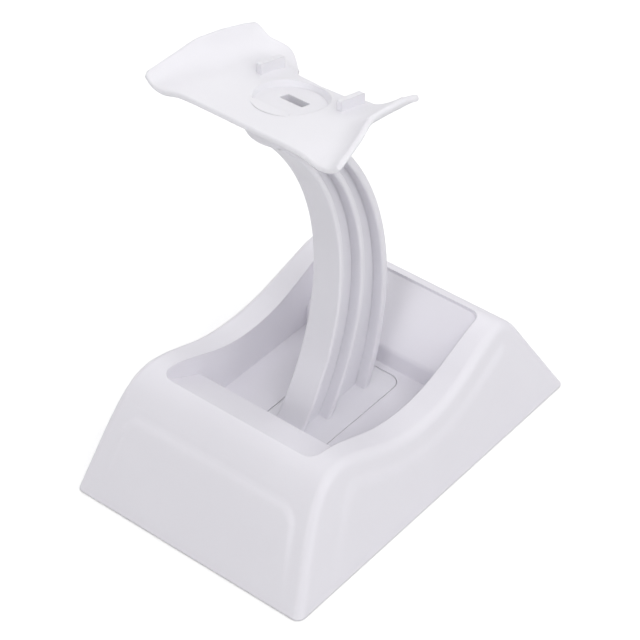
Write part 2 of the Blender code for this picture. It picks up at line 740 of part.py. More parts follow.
def cradle_section(along, flat_steps, lip_steps):
    """Half section of the plate at a station: points (x, rise) from the centre to the lip top."""
    shoulder, knee, fold_x, fold, lip_x, lip = (
        smooth_between(CRADLE_SECTIONS, along, k) for k in range(1, 7))
    table = ((0.0, 0.0), (SHOULDER_X, shoulder), (KNEE_X, knee), (fold_x, fold))
    corner = Vector((fold_x, fold))
    top = Vector((lip_x, lip))
    reach = min(CRADLE_FOLD_REACH, (top - corner).length / 2)
    start_x = fold_x - CRADLE_FOLD_REACH
    start = Vector((start_x, smooth_between(table, start_x, 1)))
    points = []
    for i in range(flat_steps):
        x = start_x * i / flat_steps
        points.append(Vector((x, smooth_between(table, x, 1))))
    points += curve_points(start, corner, towards(corner, top, reach), 0.6, lip_steps)
    points.append(towards(corner, top, ((top - corner).length + reach) / 2))
    points.append(top)
    return points


def cradle_plate(flat_steps=12, lip_steps=5, rows=14):
    """Saddle surface lofted through its sections, trimmed to its rear edge."""
    work = bmesh.new()
    count = len(cradle_section(CRADLE_FRONT_Y, flat_steps, lip_steps))
    grid = [[] for row in range(rows + 1)]
    settling_rounds = 12
    for i in range(count):
        # The plate narrows to the back, so the edge and the half width settle together
        end = CRADLE_REAR_EDGE[0][1]
        for turn in range(settling_rounds):
            half_width = cradle_section(end, flat_steps, lip_steps)[i].x
            end = (end + smooth_between(CRADLE_REAR_EDGE, half_width, 1)) / 2
        for k, line in enumerate(grid):
            along = CRADLE_FRONT_Y + (end - CRADLE_FRONT_Y) * k / rows
            point = cradle_section(along, flat_steps, lip_steps)[i]
            line.append((point.x, station(along), centre_line(along) + point.y))
    verts = []
    for line in grid:
        left = [work.verts.new((-x, y, z)) for x, y, z in reversed(line[1:])]
        right = [work.verts.new(point) for point in line]
        verts.append(left + right)
    for front, back in zip(verts, verts[1:]):
        for i in range(len(front) - 1):
            work.faces.new((front[i], front[i + 1], back[i + 1], back[i]))
    for face in work.faces:
        face.normal_update()
    return work


def make_cradle():
    work = cradle_plate()
    mesh = bpy.data.meshes.new("cradle")
    work.to_mesh(mesh)
    work.free()
    cradle = bpy.data.objects.new("cradle", mesh)
    bpy.context.scene.collection.objects.link(cradle)
    wall = cradle.modifiers.new("wall", "SOLIDIFY")
    wall.thickness = CRADLE_THICKNESS
    wall.offset = -1.0
    wall.use_even_offset = True
    edge = cradle.modifiers.new("edge", "BEVEL")
    edge.width = CRADLE_EDGE
    edge.segments = 2
    edge.limit_method = "ANGLE"
    edge.angle_limit = math.radians(50)
    bake(cradle)
    cup = [
        (CUP_HALF_X, CUP_HALF_Y, CUP_BOTTOM, 0.0),
        (CUP_HALF_X, CUP_HALF_Y, UNDERSIDE / 2, 0.0)]
    combine(cradle, new_object("cup", oval_stack(cup)), "UNION")
    spigot = slot_block(
        SLOT_LENGTH / 2 + SPIGOT_WALL, SLOT_WIDTH / 2 + SPIGOT_WALL, SPIGOT_BOTTOM, CUP_BOTTOM + FIT)
    combine(cradle, new_object("spigot", spigot), "UNION")
    for side in (-1, 1):
        combine(cradle, rib(side), "UNION")
    pocket = [
        (POCKET_HALF_X - POCKET_DRAFT, POCKET_HALF_Y - POCKET_DRAFT, -POCKET_DEPTH, 0.0),
        (POCKET_HALF_X, POCKET_HALF_Y, 0.0, 0.0),
        (POCKET_HALF_X + POCKET_DRAFT, POCKET_HALF_Y + POCKET_DRAFT, POCKET_DEPTH, 0.0)]
    combine(cradle, new_object("pocket", oval_stack(pocket)), "DIFFERENCE")
    combine(cradle, lens(), "UNION")
    slot = slot_block(SLOT_LENGTH / 2, SLOT_WIDTH / 2, SPIGOT_BOTTOM - FIT, POCKET_DEPTH)
    combine(cradle, new_object("slot", slot), "DIFFERENCE")
    return cradle


def rib(side):
    """Upright rib that stops the load from sliding, its top sloping down to the back."""
    sunk = CRADLE_THICKNESS / 2
    front, back = RIB_FRONT_Y, RIB_BACK_Y
    outline = [
        Vector((front, centre_line(front) - sunk)), Vector((front, centre_line(front) + RIB_FRONT_RISE)),
        Vector((back, centre_line(back) + RIB_BACK_RISE)), Vector((back, centre_line(back) - sunk))]
    work = prism(outline, lambda height: RIB_THICKNESS / 2)
    bmesh.ops.translate(work, verts=work.verts, vec=(side * RIB_X, 0, 0))
    return new_object("rib", work)


def lens():
    """Low segment of an oval pad that laps over the pocket's front edge."""
    outline = []
    steps = 12
    half_x, half_y = POCKET_HALF_X + LENS_LAP, POCKET_HALF_Y + LENS_LAP
    limit = math.asin(LENS_HALF_X / half_x)
    for i in range(steps + 1):
        angle = -limit + 2 * limit * i / steps
        outline.append(Vector((half_x * math.sin(angle), -half_y * math.cos(angle))))
    chord = -POCKET_HALF_Y + LENS_CHORD
    outline += [Vector((LENS_HALF_X, chord)), Vector((-LENS_HALF_X, chord))]
    work = column(outline, -POCKET_DEPTH - FIT / 2, LENS_PROUD)
    bmesh.ops.transform(work, matrix=PLATE_FRAME, verts=work.verts)
    return new_object("lens", work)


def make_screw(name, x, y):
    work = disc(0, 0, SCREW_HEAD / 2, HEAD_TOP - SCREW_HEAD_HEIGHT, HEAD_TOP, 20)
    screw = new_object(name, work)
    shank = disc(0, 0, SCREW_SHANK / 2, HEAD_TOP - FIT, HEAD_TOP + SCREW_LENGTH, 12)
    combine(screw, new_object("shank", shank), "UNION")
    screw.location = (x, y, 0)
    return screw


def make_foot(name, x, y):
    """Rubber foot, turned about its own axis: a flange with a plug above it."""
    edge = FOOT_FLANGE_HEIGHT / 4
    flange, plug = FOOT_FLANGE / 2, FOOT_PLUG / 2
    top = FOOT_FLANGE_HEIGHT - FOOT_STAND
    profile = [
        (0.0, -FOOT_STAND), (flange - edge, -FOOT_STAND), (flange, edge - FOOT_STAND), (flange, top),
        (plug, top), (plug, top + FOOT_PLUG_LENGTH - edge), (plug - edge, top + FOOT_PLUG_LENGTH),
        (0.0, top + FOOT_PLUG_LENGTH)]
    work = bmesh.new()
    verts = [work.verts.new((radius, 0.0, height)) for radius, height in profile]
    edges = [work.edges.new(pair) for pair in zip(verts, verts[1:])]
    bmesh.ops.spin(
        work, geom=verts + edges, cent=(0, 0, 0), axis=(0, 0, 1), angle=2 * math.pi, steps=20,
        use_merge=True)
    bmesh.ops.remove_doubles(work, verts=work.verts, dist=FIT / 30)
    foot = new_object(name, work)
    foot.location = (x, y, 0)
    return foot


def main():
    clear_scene()
    stand = bpy.data.objects.new("stand", None)
    stand.location = (0, 0, FOOT_STAND)
    bpy.context.scene.collection.objects.link(stand)
    white = plastic("white_plastic", (0.80, 0.80, 0.82), 0.42)
    arm_white = plastic("arm_plastic", (0.80, 0.80, 0.82), 0.42)
    cradle_white = plastic("cradle_plastic", (0.81, 0.81, 0.83), 0.42)
    steel = metal("screw_steel", (0.55, 0.55, 0.56), 0.35)
    rubber = plastic("grey_rubber", (0.30, 0.30, 0.31), 0.85)
    pieces = [(make_base(), white), (make_arm(), arm_white), (make_cradle(), cradle_white)]
    for number, (x, y) in enumerate(screw_places(), 1):
        pieces.append((make_screw(f"arm_screw_{number}", x, y), steel))
    for number, (x, y) in enumerate(foot_places(), 1):
        pieces.append((make_foot(f"rubber_foot_{number}", x, y), rubber))
    for item, material in pieces:
        item.data.materials.clear()
        item.data.materials.append(material)
        item.parent = stand
        smooth(item)


main()
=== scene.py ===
import math

import bmesh
import bpy
from mathutils import Matrix, Vector
from mathutils.geometry import interpolate_bezier
from mathutils.kdtree import KDTree


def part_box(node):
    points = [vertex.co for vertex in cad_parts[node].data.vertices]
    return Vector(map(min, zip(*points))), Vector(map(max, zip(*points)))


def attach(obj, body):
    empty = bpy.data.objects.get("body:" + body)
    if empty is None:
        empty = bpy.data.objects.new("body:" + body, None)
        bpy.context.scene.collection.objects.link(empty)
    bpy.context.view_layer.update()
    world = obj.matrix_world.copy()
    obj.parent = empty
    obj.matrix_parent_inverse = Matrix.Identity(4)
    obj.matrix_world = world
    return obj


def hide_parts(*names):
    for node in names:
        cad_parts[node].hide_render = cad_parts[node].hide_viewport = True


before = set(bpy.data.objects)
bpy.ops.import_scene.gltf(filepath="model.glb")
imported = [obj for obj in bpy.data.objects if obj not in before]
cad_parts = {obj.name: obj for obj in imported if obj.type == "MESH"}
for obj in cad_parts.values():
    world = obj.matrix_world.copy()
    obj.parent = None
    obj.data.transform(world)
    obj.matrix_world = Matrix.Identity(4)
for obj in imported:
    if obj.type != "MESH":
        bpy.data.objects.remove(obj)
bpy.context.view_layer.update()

# Base shell: one white moulding, open below, drawn here in millimetres. A station is a
# distance back from its front bottom edge and a height is above its rim; its faces lean in
# for the mould, its ridges are rounded, and a low panel stands proud on each face.
MM = 0.001
base_low, base_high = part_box("base_shell")
BASE_WIDTH = (base_high.x - base_low.x) / MM
BASE_DEPTH = (base_high.y - base_low.y) / MM
MILLIMETRES_TO_FRAME = Matrix.Translation((0.0, base_low.y, base_low.z)) @ Matrix.Scale(MM, 4)
SIDE_DRAFT = math.radians(10.9)
FRONT_DRAFT = math.radians(24.6)
BACK_DRAFT = math.radians(30.9)
SHOULDER_HEIGHT = 48.2
TAIL_HEIGHT = 46.9
RIM_FALL = math.radians(21.9)
RIM_RISE = math.radians(22.8)
# curves at the profile's corners: reach before and after the corner, and fullness
SHOULDER_CURVE = (35.0, 24.8, 0.84)
DIP_CURVE = (24.1, 24.1, 0.64)
TAIL_CURVE = (13.4, 13.4, 0.74)
RIDGE_RADIUS = 3.0
WALL = 2.4
CLEARANCE = 0.3
CREASE = math.radians(32)
MERGE_DISTANCE = 0.01


def rounded_outline(corners, steps=14):
    """Points of a side outline.

    A corner is (station, height), or has the reaches and the fullness of its curve as well.
    """
    places = [Vector((0.0, corner[0], corner[1])) for corner in corners]
    points = []
    for index, corner in enumerate(corners):
        place = places[index]
        if len(corner) == 2:
            points.append(place)
            continue
        reach_in, reach_out, fullness = corner[2:]
        start = place + (places[index - 1] - place).normalized() * reach_in
        end = place + (places[(index + 1) % len(places)] - place).normalized() * reach_out
        points += interpolate_bezier(
            start, start.lerp(place, fullness), end.lerp(place, fullness), end, steps)
    return points


def inset_outline(outline, distance):
    """Side outline with every side moved inwards; outlines run up the front and down the back."""
    result = []
    for index, point in enumerate(outline):
        before = (point - outline[index - 1]).normalized()
        after = (outline[(index + 1) % len(outline)] - point).normalized()
        inward = Vector((0.0, after.z, -after.y))
        middle = (inward + Vector((0.0, before.z, -before.y))).normalized()
        result.append(point + middle * (distance / middle.dot(inward)))
    return result


def moved_copy(work, faces, vector):
    """Extrude faces by a vector and return the new faces."""
    grown = bmesh.ops.extrude_face_region(work, geom=faces)["geom"]
    bmesh.ops.translate(
        work, verts=[item for item in grown if isinstance(item, bmesh.types.BMVert)], vec=vector)
    return [item for item in grown if isinstance(item, bmesh.types.BMFace)]


def sweep(outline, half_width):
    """Solid across X from a side outline; half_width gives its reach at a height."""
    work = bmesh.new()
    work.faces.new([work.verts.new(point) for point in outline])
    moved_copy(work, work.faces[:], (2.0, 0.0, 0.0))
    for vert in work.verts:
        vert.co.x = (vert.co.x - 1.0) * half_width(vert.co.z)
    bmesh.ops.recalc_face_normals(work, faces=work.faces)
    return work


def plan_block(half_x, front, back, corner, low, high, steps=8):
    """Upright block with round corners, from a half width and two stations."""
    work = bmesh.new()
    placing = Matrix.Translation((0.0, (front + back) / 2, low)) @ Matrix.Diagonal(
        (half_x, (back - front) / 2, 1.0, 1.0))
    bmesh.ops.create_grid(work, x_segments=1, y_segments=1, size=1.0, matrix=placing)
    bmesh.ops.bevel(
        work, geom=work.verts[:], offset=corner, segments=steps, profile=0.5, affect="VERTICES",
        material=-1)
    moved_copy(work, work.faces[:], (0.0, 0.0, high - low))
    bmesh.ops.recalc_face_normals(work, faces=work.faces)
    return work


def post(x, along, radius, low, high, sides=48):
    work = bmesh.new()
    bmesh.ops.create_cone(
        work, cap_ends=True, segments=sides, radius1=radius, radius2=radius, depth=high - low,
        matrix=Matrix.Translation((x, along, (low + high) / 2)))
    return work


def as_object(name, work):
    mesh = bpy.data.meshes.new(name)
    work.to_mesh(mesh)
    work.free()
    item = bpy.data.objects.new(name, mesh)
    bpy.context.scene.collection.objects.link(item)
    return item


def apply_modifiers(item):
    graph = bpy.context.evaluated_depsgraph_get()
    mesh = bpy.data.meshes.new_from_object(item.evaluated_get(graph))
    item.modifiers.clear()
    item.data = mesh


def combine(item, work, operation):
    """Join a solid to a piece, cut it out of it, or keep what they share."""
    tool = as_object("tool", work)
    step = item.modifiers.new("combine", "BOOLEAN")
    step.operation = operation
    step.object = tool
    step.solver = "EXACT"
    apply_modifiers(item)
    bpy.data.objects.remove(tool, do_unlink=True)


def place(item, material, slot, node):
    """Bring a finished piece into the frame, smooth it, finish it and set it on its body."""
    item.data.transform(MILLIMETRES_TO_FRAME)
    item.data.materials.clear()
    item.data.materials.append(material)
    item.data.shade_smooth()
    item.data.set_sharp_from_angle(angle=CREASE)
    normals = item.modifiers.new("normals", "WEIGHTED_NORMAL")
    normals.keep_sharp = True
    apply_modifiers(item)
    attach(item, "root")
    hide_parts(node)


def base_half_width(height):
    return BASE_WIDTH / 2 - height * math.tan(SIDE_DRAFT)


shoulder_station = SHOULDER_HEIGHT * math.tan(FRONT_DRAFT)
tail_station = BASE_DEPTH - TAIL_HEIGHT * math.tan(BACK_DRAFT)
fall, rise = math.tan(RIM_FALL), math.tan(RIM_RISE)
dip_station = (
    SHOULDER_HEIGHT - TAIL_HEIGHT + fall * shoulder_station + rise * tail_station) / (fall + rise)
base_profile = rounded_outline([
    (0.0, 0.0),
    (shoulder_station, SHOULDER_HEIGHT, *SHOULDER_CURVE),
    (dip_station, SHOULDER_HEIGHT - fall * (dip_station - shoulder_station), *DIP_CURVE),
    (tail_station, TAIL_HEIGHT, *TAIL_CURVE),
    (BASE_DEPTH, 0.0)])
base_work = sweep(base_profile, base_half_width)
ridges = [
    edge for edge in base_work.edges
    if edge.verts[0].co.x * edge.verts[1].co.x > 0.0
    and max(vert.co.z for vert in edge.verts) > CLEARANCE]
bmesh.ops.bevel(
    base_work, geom=ridges, offset=RIDGE_RADIUS, offset_type="OFFSET", segments=8, profile=0.5,
    affect="EDGES", material=-1)

# Panels of the base: the faces stand 1 mm proud inside a soft roll, full at the top and flush
# at the bottom edge, because the panel stands up straighter than the face that it is on.
PANEL_RAISE = 1.0
END_PANEL_ROLL = 2.5
SIDE_PANEL_ROLL = 5.0
PANEL_INSET = 6.6
PANEL_TOP = 32.2
PANEL_CORNER = 6.5
SIDE_PANEL_FRONT_INSET = 13.6
PANEL_PITCH = 0.75
PLANE_OFFSET = 0.02
RIM_STEPS = 40


def sliced(work, faces, axis, pitch):
    """Cut faces by planes a pitch apart and return all that they became."""
    geometry = list(faces)
    geometry += list({edge for face in faces for edge in face.edges})
    geometry += list({vert for face in faces for vert in face.verts})
    places = [vert.co.dot(axis) for vert in geometry if isinstance(vert, bmesh.types.BMVert)]
    for step in range(math.ceil(min(places) / pitch), math.floor(max(places) / pitch) + 1):
        geometry = bmesh.ops.bisect_plane(
            work, geom=geometry, dist=MERGE_DISTANCE, plane_co=axis * (step * pitch + PLANE_OFFSET),
            plane_no=axis)["geom"]
    return geometry


def soft_step(distance, roll):
    """Height of the roll, as a share, at a distance inside the panel's outline."""
    share = min(max(distance / roll, 0.0), 1.0)
    return share * share * (3.0 - 2.0 * share)


def press_panel(work, faces, cuts, inside, top, roll):
    """Raise the middle of faces along their own normal, more towards the panel's top."""
    outward = sum((face.normal * face.calc_area() for face in faces), Vector()).normalized()
    geometry = faces
    for axis in cuts:
        pieces = [item for item in geometry if isinstance(item, bmesh.types.BMFace)]
        geometry = sliced(work, pieces, axis, PANEL_PITCH)
    for vert in geometry:
        if isinstance(vert, bmesh.types.BMVert):
            share = soft_step(inside(vert.co), roll) * min(vert.co.z / top, 1.0)
            vert.co += outward * (PANEL_RAISE * share)


def inside_end_panel(point):
    """Distance inside the outline of the panel on the front or back face."""
    across = abs(point.x) - (base_half_width(point.z) - PANEL_INSET - PANEL_CORNER)
    above = point.z - (PANEL_TOP - PANEL_CORNER)
    outside = math.hypot(max(across, 0.0), max(above, 0.0)) + min(max(across, above), 0.0)
    return PANEL_CORNER - outside


rim_points = [
    start.lerp(end, step / RIM_STEPS) for start, end in zip(base_profile[:-1], base_profile[1:])
    for step in range(RIM_STEPS) if (end - start).length > step / 4]
rim_tree = KDTree(len(rim_points))
for index, point in enumerate(rim_points):
    rim_tree.insert((0.0, point.y, point.z), index)
rim_tree.balance()
peak = max(point.z for point in base_profile) - PANEL_INSET


def inside_side_panel(point):
    """Distance inside the outline of a side panel, which follows the rim."""
    from_rim = rim_tree.find((0.0, point.y, point.z))[2] - PANEL_INSET
    from_front = (point.y - point.z * math.tan(FRONT_DRAFT)) * math.cos(FRONT_DRAFT)
    from_front -= SIDE_PANEL_FRONT_INSET
    blend = max(PANEL_CORNER - abs(from_rim - from_front), 0.0)
    return min(from_rim, from_front) - blend * blend / (4 * PANEL_CORNER)


X_AXIS, Y_AXIS, Z_AXIS = Vector((1, 0, 0)), Vector((0, 1, 0)), Vector((0, 0, 1))
for side in (-1, 1):
    widest = max(base_work.faces, key=lambda face: face.calc_area() * max(side * face.normal.x, 0.0))
    press_panel(base_work, [widest], (Y_AXIS, Z_AXIS), inside_side_panel, peak, SIDE_PANEL_ROLL)
for end in (-1, 1):
    rising = [
        face for face in base_work.faces
        if abs(face.normal.x) < 0.01 and end * face.normal.y > 0.3
        and face.calc_center_median().z < PANEL_TOP + END_PANEL_ROLL]
    press_panel(base_work, rising, (X_AXIS, Z_AXIS), inside_end_panel, PANEL_TOP, END_PANEL_ROLL)
bmesh.ops.recalc_face_normals(base_work, faces=base_work.faces)
base = as_object("base_moulding", base_work)

# Basin: a tray for batteries and small parts sunk into the base, with a ramp at its front, a
# flat floor that carries the arm, and a step and a slope at its back.
BASIN_WIDTH = 66.0
BASIN_FRONT = 28.0
BASIN_BACK = 120.6
BASIN_CORNER = 4.5
FLOOR = 14.7
RAMP_BACK = 47.9
RAMP_EDGE = 29.2
RAMP_SLOPE = math.radians(28.0)
STEP_STATION = 105.0
STEP_HEIGHT = 22.3
BASIN_BACK_SLOPE = math.radians(52.0)
BRINK_CURVE = (1.4, 1.4, 0.6)
SKY = 3 * SHOULDER_HEIGHT


def basin_space(growth):
    """The space of the basin; growth thickens it all round for the wall below it."""
    run = (SKY - RAMP_EDGE) / math.tan(RAMP_SLOPE)
    climb = (SKY - STEP_HEIGHT) / math.tan(BASIN_BACK_SLOPE)
    brink = () if growth else BRINK_CURVE
    outline = rounded_outline([
        (RAMP_BACK - run, SKY), (STEP_STATION + climb, SKY), (STEP_STATION, STEP_HEIGHT, *brink),
        (STEP_STATION, FLOOR), (RAMP_BACK, FLOOR), (RAMP_BACK, RAMP_EDGE, *brink)], 6)
    space = as_object("basin", sweep(inset_outline(outline, -growth), lambda height: BASE_WIDTH))
    well = plan_block(
        BASIN_WIDTH / 2 + growth, BASIN_FRONT - growth, BASIN_BACK + growth, BASIN_CORNER + growth,
        -growth, SKY)
    combine(space, well, "INTERSECT")
    return space


def used_up(item):
    """The mesh of an object that has served its turn."""
    work = bmesh.new()
    work.from_mesh(item.data)
    bpy.data.objects.remove(item, do_unlink=True)
    return work


combine(base, used_up(basin_space(0.0)), "DIFFERENCE")

# Underside of the base: the shell is open below. Four tubes take the arm's screws from below,
# and four more hold the rubber feet at the corners.
PLATE_HALF = 13.2
PLATE_FRONT = 48.6
PLATE_BACK = 102.0
PLATE_CORNER = 5.0
PLATE_THICKNESS = 3.0
PLATE_SEAM = 0.18
SCREW_X = 8.0
SCREW_STATIONS = (57.0, 94.0)
SCREW_SHANK = 2.8
SCREW_HEAD = 5.6
SCREW_HEAD_HEIGHT = 1.9
SCREW_HEAD_SPACE = 0.5
BOSS_RADIUS = 3.4
BOSS_LENGTH = 4.8
BOSS_BELOW_FLOOR = 0.9
PILOT_BELOW_FLOOR = 1.2
TUBE_WALL = 2.2
TUBE_LEDGE = 2.0
FOOT_SIDE_INSET = 14.0
FOOT_END_INSET = 15.0
FOOT_FLANGE = 13.0
FOOT_FLANGE_HEIGHT = 1.4
FOOT_PLUG = 8.8
FOOT_PLUG_LENGTH = 5.0
FOOT_TUBE_WALL = 2.4
FOOT_TUBE_DEPTH = 11.0
FOOT_STAND = base_low.z / MM
BELOW = 3.0
plate_bottom = FLOOR - PLATE_THICKNESS
seat_top = plate_bottom - CLEARANCE
ledge_top = plate_bottom - BOSS_LENGTH - CLEARANCE
head_top = ledge_top - TUBE_LEDGE - CLEARANCE
tube_bottom = head_top - SCREW_HEAD_HEIGHT - CLEARANCE
foot_tube_bottom = FOOT_FLANGE_HEIGHT - FOOT_STAND + CLEARANCE
screw_places = [(side * SCREW_X, along) for side in (-1, 1) for along in SCREW_STATIONS]
foot_places = [
    (side * (BASE_WIDTH / 2 - FOOT_SIDE_INSET), along) for side in (-1, 1)
    for along in (FOOT_END_INSET, BASE_DEPTH - FOOT_END_INSET)]

hollow_profile = inset_outline(base_profile, WALL)
front, back = hollow_profile[0], hollow_profile[-1]
hollow_profile[0] = Vector((0.0, front.y - (front.z + BELOW) * math.tan(FRONT_DRAFT), -BELOW))
hollow_profile[-1] = Vector((0.0, back.y + (back.z + BELOW) * math.tan(BACK_DRAFT), -BELOW))
side_wall = WALL / math.cos(SIDE_DRAFT)
hollow = as_object("hollow", sweep(hollow_profile, lambda height: base_half_width(height) - side_wall))
combine(hollow, used_up(basin_space(WALL)), "DIFFERENCE")
around = CLEARANCE + WALL
combine(hollow, plan_block(
    PLATE_HALF + around, PLATE_FRONT - around, PLATE_BACK + around, PLATE_CORNER + WALL,
    seat_top - WALL, FLOOR), "DIFFERENCE")
for x, along in screw_places:
    combine(hollow, post(x, along, BOSS_RADIUS + CLEARANCE + TUBE_WALL, tube_bottom, FLOOR), "DIFFERENCE")
for x, along in foot_places:
    foot_tube_radius = FOOT_PLUG / 2 + CLEARANCE + FOOT_TUBE_WALL
    combine(hollow, post(x, along, foot_tube_radius, foot_tube_bottom, SHOULDER_HEIGHT), "DIFFERENCE")
combine(base, used_up(hollow), "DIFFERENCE")
combine(base, plan_block(
    PLATE_HALF + PLATE_SEAM, PLATE_FRONT - PLATE_SEAM, PLATE_BACK + PLATE_SEAM, PLATE_CORNER + PLATE_SEAM,
    seat_top, FLOOR + CLEARANCE), "DIFFERENCE")
for x, along in screw_places:
    combine(base, post(x, along, BOSS_RADIUS + CLEARANCE, ledge_top, FLOOR), "DIFFERENCE")
    combine(base, post(x, along, SCREW_SHANK / 2 + CLEARANCE, head_top, FLOOR), "DIFFERENCE")
    head_space = SCREW_HEAD / 2 + SCREW_HEAD_SPACE
    combine(base, post(x, along, head_space, -BELOW, head_top + CLEARANCE), "DIFFERENCE")
for x, along in foot_places:
    combine(base, post(x, along, FOOT_PLUG / 2 + CLEARANCE, -BELOW, FOOT_TUBE_DEPTH), "DIFFERENCE")
    combine(base, post(x, along, FOOT_FLANGE / 2 + CLEARANCE, -BELOW, foot_tube_bottom), "DIFFERENCE")

# White plastic: satin mouldings of one white, with the fine grain of a spark-eroded mould,
# faint flow clouds in the colour and sheen, and edges that the tool leaves slightly rounded.
# The arm's copy is painted a little darker and the cradle's lighter than the base's:
# painted shade and painted light.


def socket(group, name, direction, kind, value=None):
    made = group.interface.new_socket(name=name, in_out=direction, socket_type=kind)
    if value is not None:
        made.default_value = value


def build_moulding_group():
    """Grain, clouds and sheen of a moulded surface, from places on the object in metres."""
    group = bpy.data.node_groups.new("moulded_surface", "ShaderNodeTree")
    socket(group, "Place", "INPUT", "NodeSocketVector")
    socket(group, "Grain size", "INPUT", "NodeSocketFloat", 0.35)
    socket(group, "Light shade", "INPUT", "NodeSocketColor", (0.8, 0.8, 0.8, 1.0))
    socket(group, "Dark shade", "INPUT", "NodeSocketColor", (0.7, 0.7, 0.7, 1.0))
    socket(group, "Sheen low", "INPUT", "NodeSocketFloat", 0.40)
    socket(group, "Sheen high", "INPUT", "NodeSocketFloat", 0.52)
    socket(group, "Colour", "OUTPUT", "NodeSocketColor")
    socket(group, "Roughness", "OUTPUT", "NodeSocketFloat")
    socket(group, "Grain", "OUTPUT", "NodeSocketFloat")
    nodes, links = group.nodes, group.links
    entry, leave = nodes.new("NodeGroupInput"), nodes.new("NodeGroupOutput")
    pitch = nodes.new("ShaderNodeMath")
    pitch.operation = "DIVIDE"
    pitch.inputs[0].default_value = 1.0 / MM
    links.new(entry.outputs["Grain size"], pitch.inputs[1])
    grain = nodes.new("ShaderNodeTexNoise")
    grain.inputs["Detail"].default_value = 3.0
    grain.inputs["Roughness"].default_value = 0.6
    links.new(entry.outputs["Place"], grain.inputs["Vector"])
    links.new(pitch.outputs["Value"], grain.inputs["Scale"])
    links.new(grain.outputs["Fac"], leave.inputs["Grain"])
    clouds = nodes.new("ShaderNodeTexNoise")
    clouds.inputs["Scale"].default_value = 38.0
    clouds.inputs["Detail"].default_value = 4.0
    clouds.inputs["Distortion"].default_value = 0.6
    links.new(entry.outputs["Place"], clouds.inputs["Vector"])
    shade = nodes.new("ShaderNodeMix")
    shade.data_type = "RGBA"
    links.new(clouds.outputs["Fac"], shade.inputs["Factor"])
    links.new(entry.outputs["Light shade"], shade.inputs["A"])
    links.new(entry.outputs["Dark shade"], shade.inputs["B"])
    speck = nodes.new("ShaderNodeMapRange")
    speck.inputs["From Min"].default_value = 0.3
    speck.inputs["From Max"].default_value = 0.7
    speck.inputs["To Min"].default_value = 0.985
    speck.inputs["To Max"].default_value = 1.0
    links.new(grain.outputs["Fac"], speck.inputs["Value"])
    tinted = nodes.new("ShaderNodeMix")
    tinted.data_type = "RGBA"
    tinted.blend_type = "MULTIPLY"
    tinted.inputs["Factor"].default_value = 1.0
    links.new(shade.outputs["Result"], tinted.inputs["A"])
    links.new(speck.outputs["Result"], tinted.inputs["B"])
    links.new(tinted.outputs["Result"], leave.inputs["Colour"])
    streaks = nodes.new("ShaderNodeTexNoise")
    streaks.inputs["Scale"].default_value = 90.0
    streaks.inputs["Detail"].default_value = 2.0
    links.new(entry.outputs["Place"], streaks.inputs["Vector"])
    sheen = nodes.new("ShaderNodeMapRange")
    sheen.inputs["From Min"].default_value = 0.3
    sheen.inputs["From Max"].default_value = 0.7
    links.new(streaks.outputs["Fac"], sheen.inputs["Value"])
    links.new(entry.outputs["Sheen low"], sheen.inputs["To Min"])
    links.new(entry.outputs["Sheen high"], sheen.inputs["To Max"])
    links.new(sheen.outputs["Result"], leave.inputs["Roughness"])
    return group


moulding_group = build_moulding_group()


def moulded_plastic(name, light, dark, grain_size, sheen, grain_depth, edge_radius):
    """Satin plastic with grain; edge_radius rounds the light on edges that are square in the mesh."""
    material = bpy.data.materials.new(name)
    material.use_nodes = True
    nodes, links = material.node_tree.nodes, material.node_tree.links
    shader = nodes["Principled BSDF"]
    coordinates = nodes.new("ShaderNodeTexCoord")
    surface = nodes.new("ShaderNodeGroup")
    surface.node_tree = moulding_group
    surface.inputs["Grain size"].default_value = grain_size
    surface.inputs["Light shade"].default_value = (*light, 1.0)
    surface.inputs["Dark shade"].default_value = (*dark, 1.0)
    surface.inputs["Sheen low"].default_value, surface.inputs["Sheen high"].default_value = sheen
    links.new(coordinates.outputs["Object"], surface.inputs["Place"])
    links.new(surface.outputs["Colour"], shader.inputs["Base Color"])
    links.new(surface.outputs["Roughness"], shader.inputs["Roughness"])
    edge = nodes.new("ShaderNodeBevel")
    edge.samples = 6
    edge.inputs["Radius"].default_value = edge_radius * MM
    bump = nodes.new("ShaderNodeBump")
    bump.inputs["Strength"].default_value = 0.5
    bump.inputs["Distance"].default_value = grain_depth * MM
    links.new(surface.outputs["Grain"], bump.inputs["Height"])
    links.new(edge.outputs["Normal"], bump.inputs["Normal"])
    links.new(bump.outputs["Normal"], shader.inputs["Normal"])
    shader.inputs["IOR"].default_value = 1.5
    shader.inputs["Specular IOR Level"].default_value = 0.45
    return material


base_plastic = moulded_plastic(
    "base_white", (0.80, 0.785, 0.835), (0.775, 0.76, 0.81), 0.45, (0.42, 0.52), 0.02, 0.6)
place(base, base_plastic, "base_plastic", "base_shell")

# Arm: one moulding of three curved flanges on a thin web, standing on a foot plate that is let
# into the basin's floor, with an oval head that the cradle is pressed on to.
ARM_HALF = 5.9
ARM_WEB_HALF = 1.5
ARM_EDGE = 0.8
ARM_FOOT = FLOOR - PLATE_THICKNESS / 2
ARM_TOP = 143.0
PLATE_EDGE = 0.15
FLANGE_ARCS = (
    # station and height of the arc's centre, radius of the front face, thickness
    (-14.3, 76.3, 90.0, 2.1),
    (-5.0, 69.0, 92.1, 2.2),
    (-5.9, 57.8, 105.0, 2.8),
)


def arc_angles(level, radius):
    return [math.asin((height - level) / radius) for height in (ARM_FOOT, ARM_TOP)]


def swing(work, geometry, centre, level, radius, steps=56):
    """Sweep what stands at the radius on the Y axis along the arm's arc."""
    start, end = arc_angles(level, radius)
    verts = [item for item in geometry if isinstance(item, bmesh.types.BMVert)]
    bmesh.ops.rotate(work, verts=verts, cent=(0, 0, 0), matrix=Matrix.Rotation(start, 3, "X"))
    bmesh.ops.translate(work, verts=verts, vec=(0, centre, level))
    bmesh.ops.spin(
        work, geom=geometry, cent=(0, centre, level), axis=(1, 0, 0), angle=end - start, steps=steps)


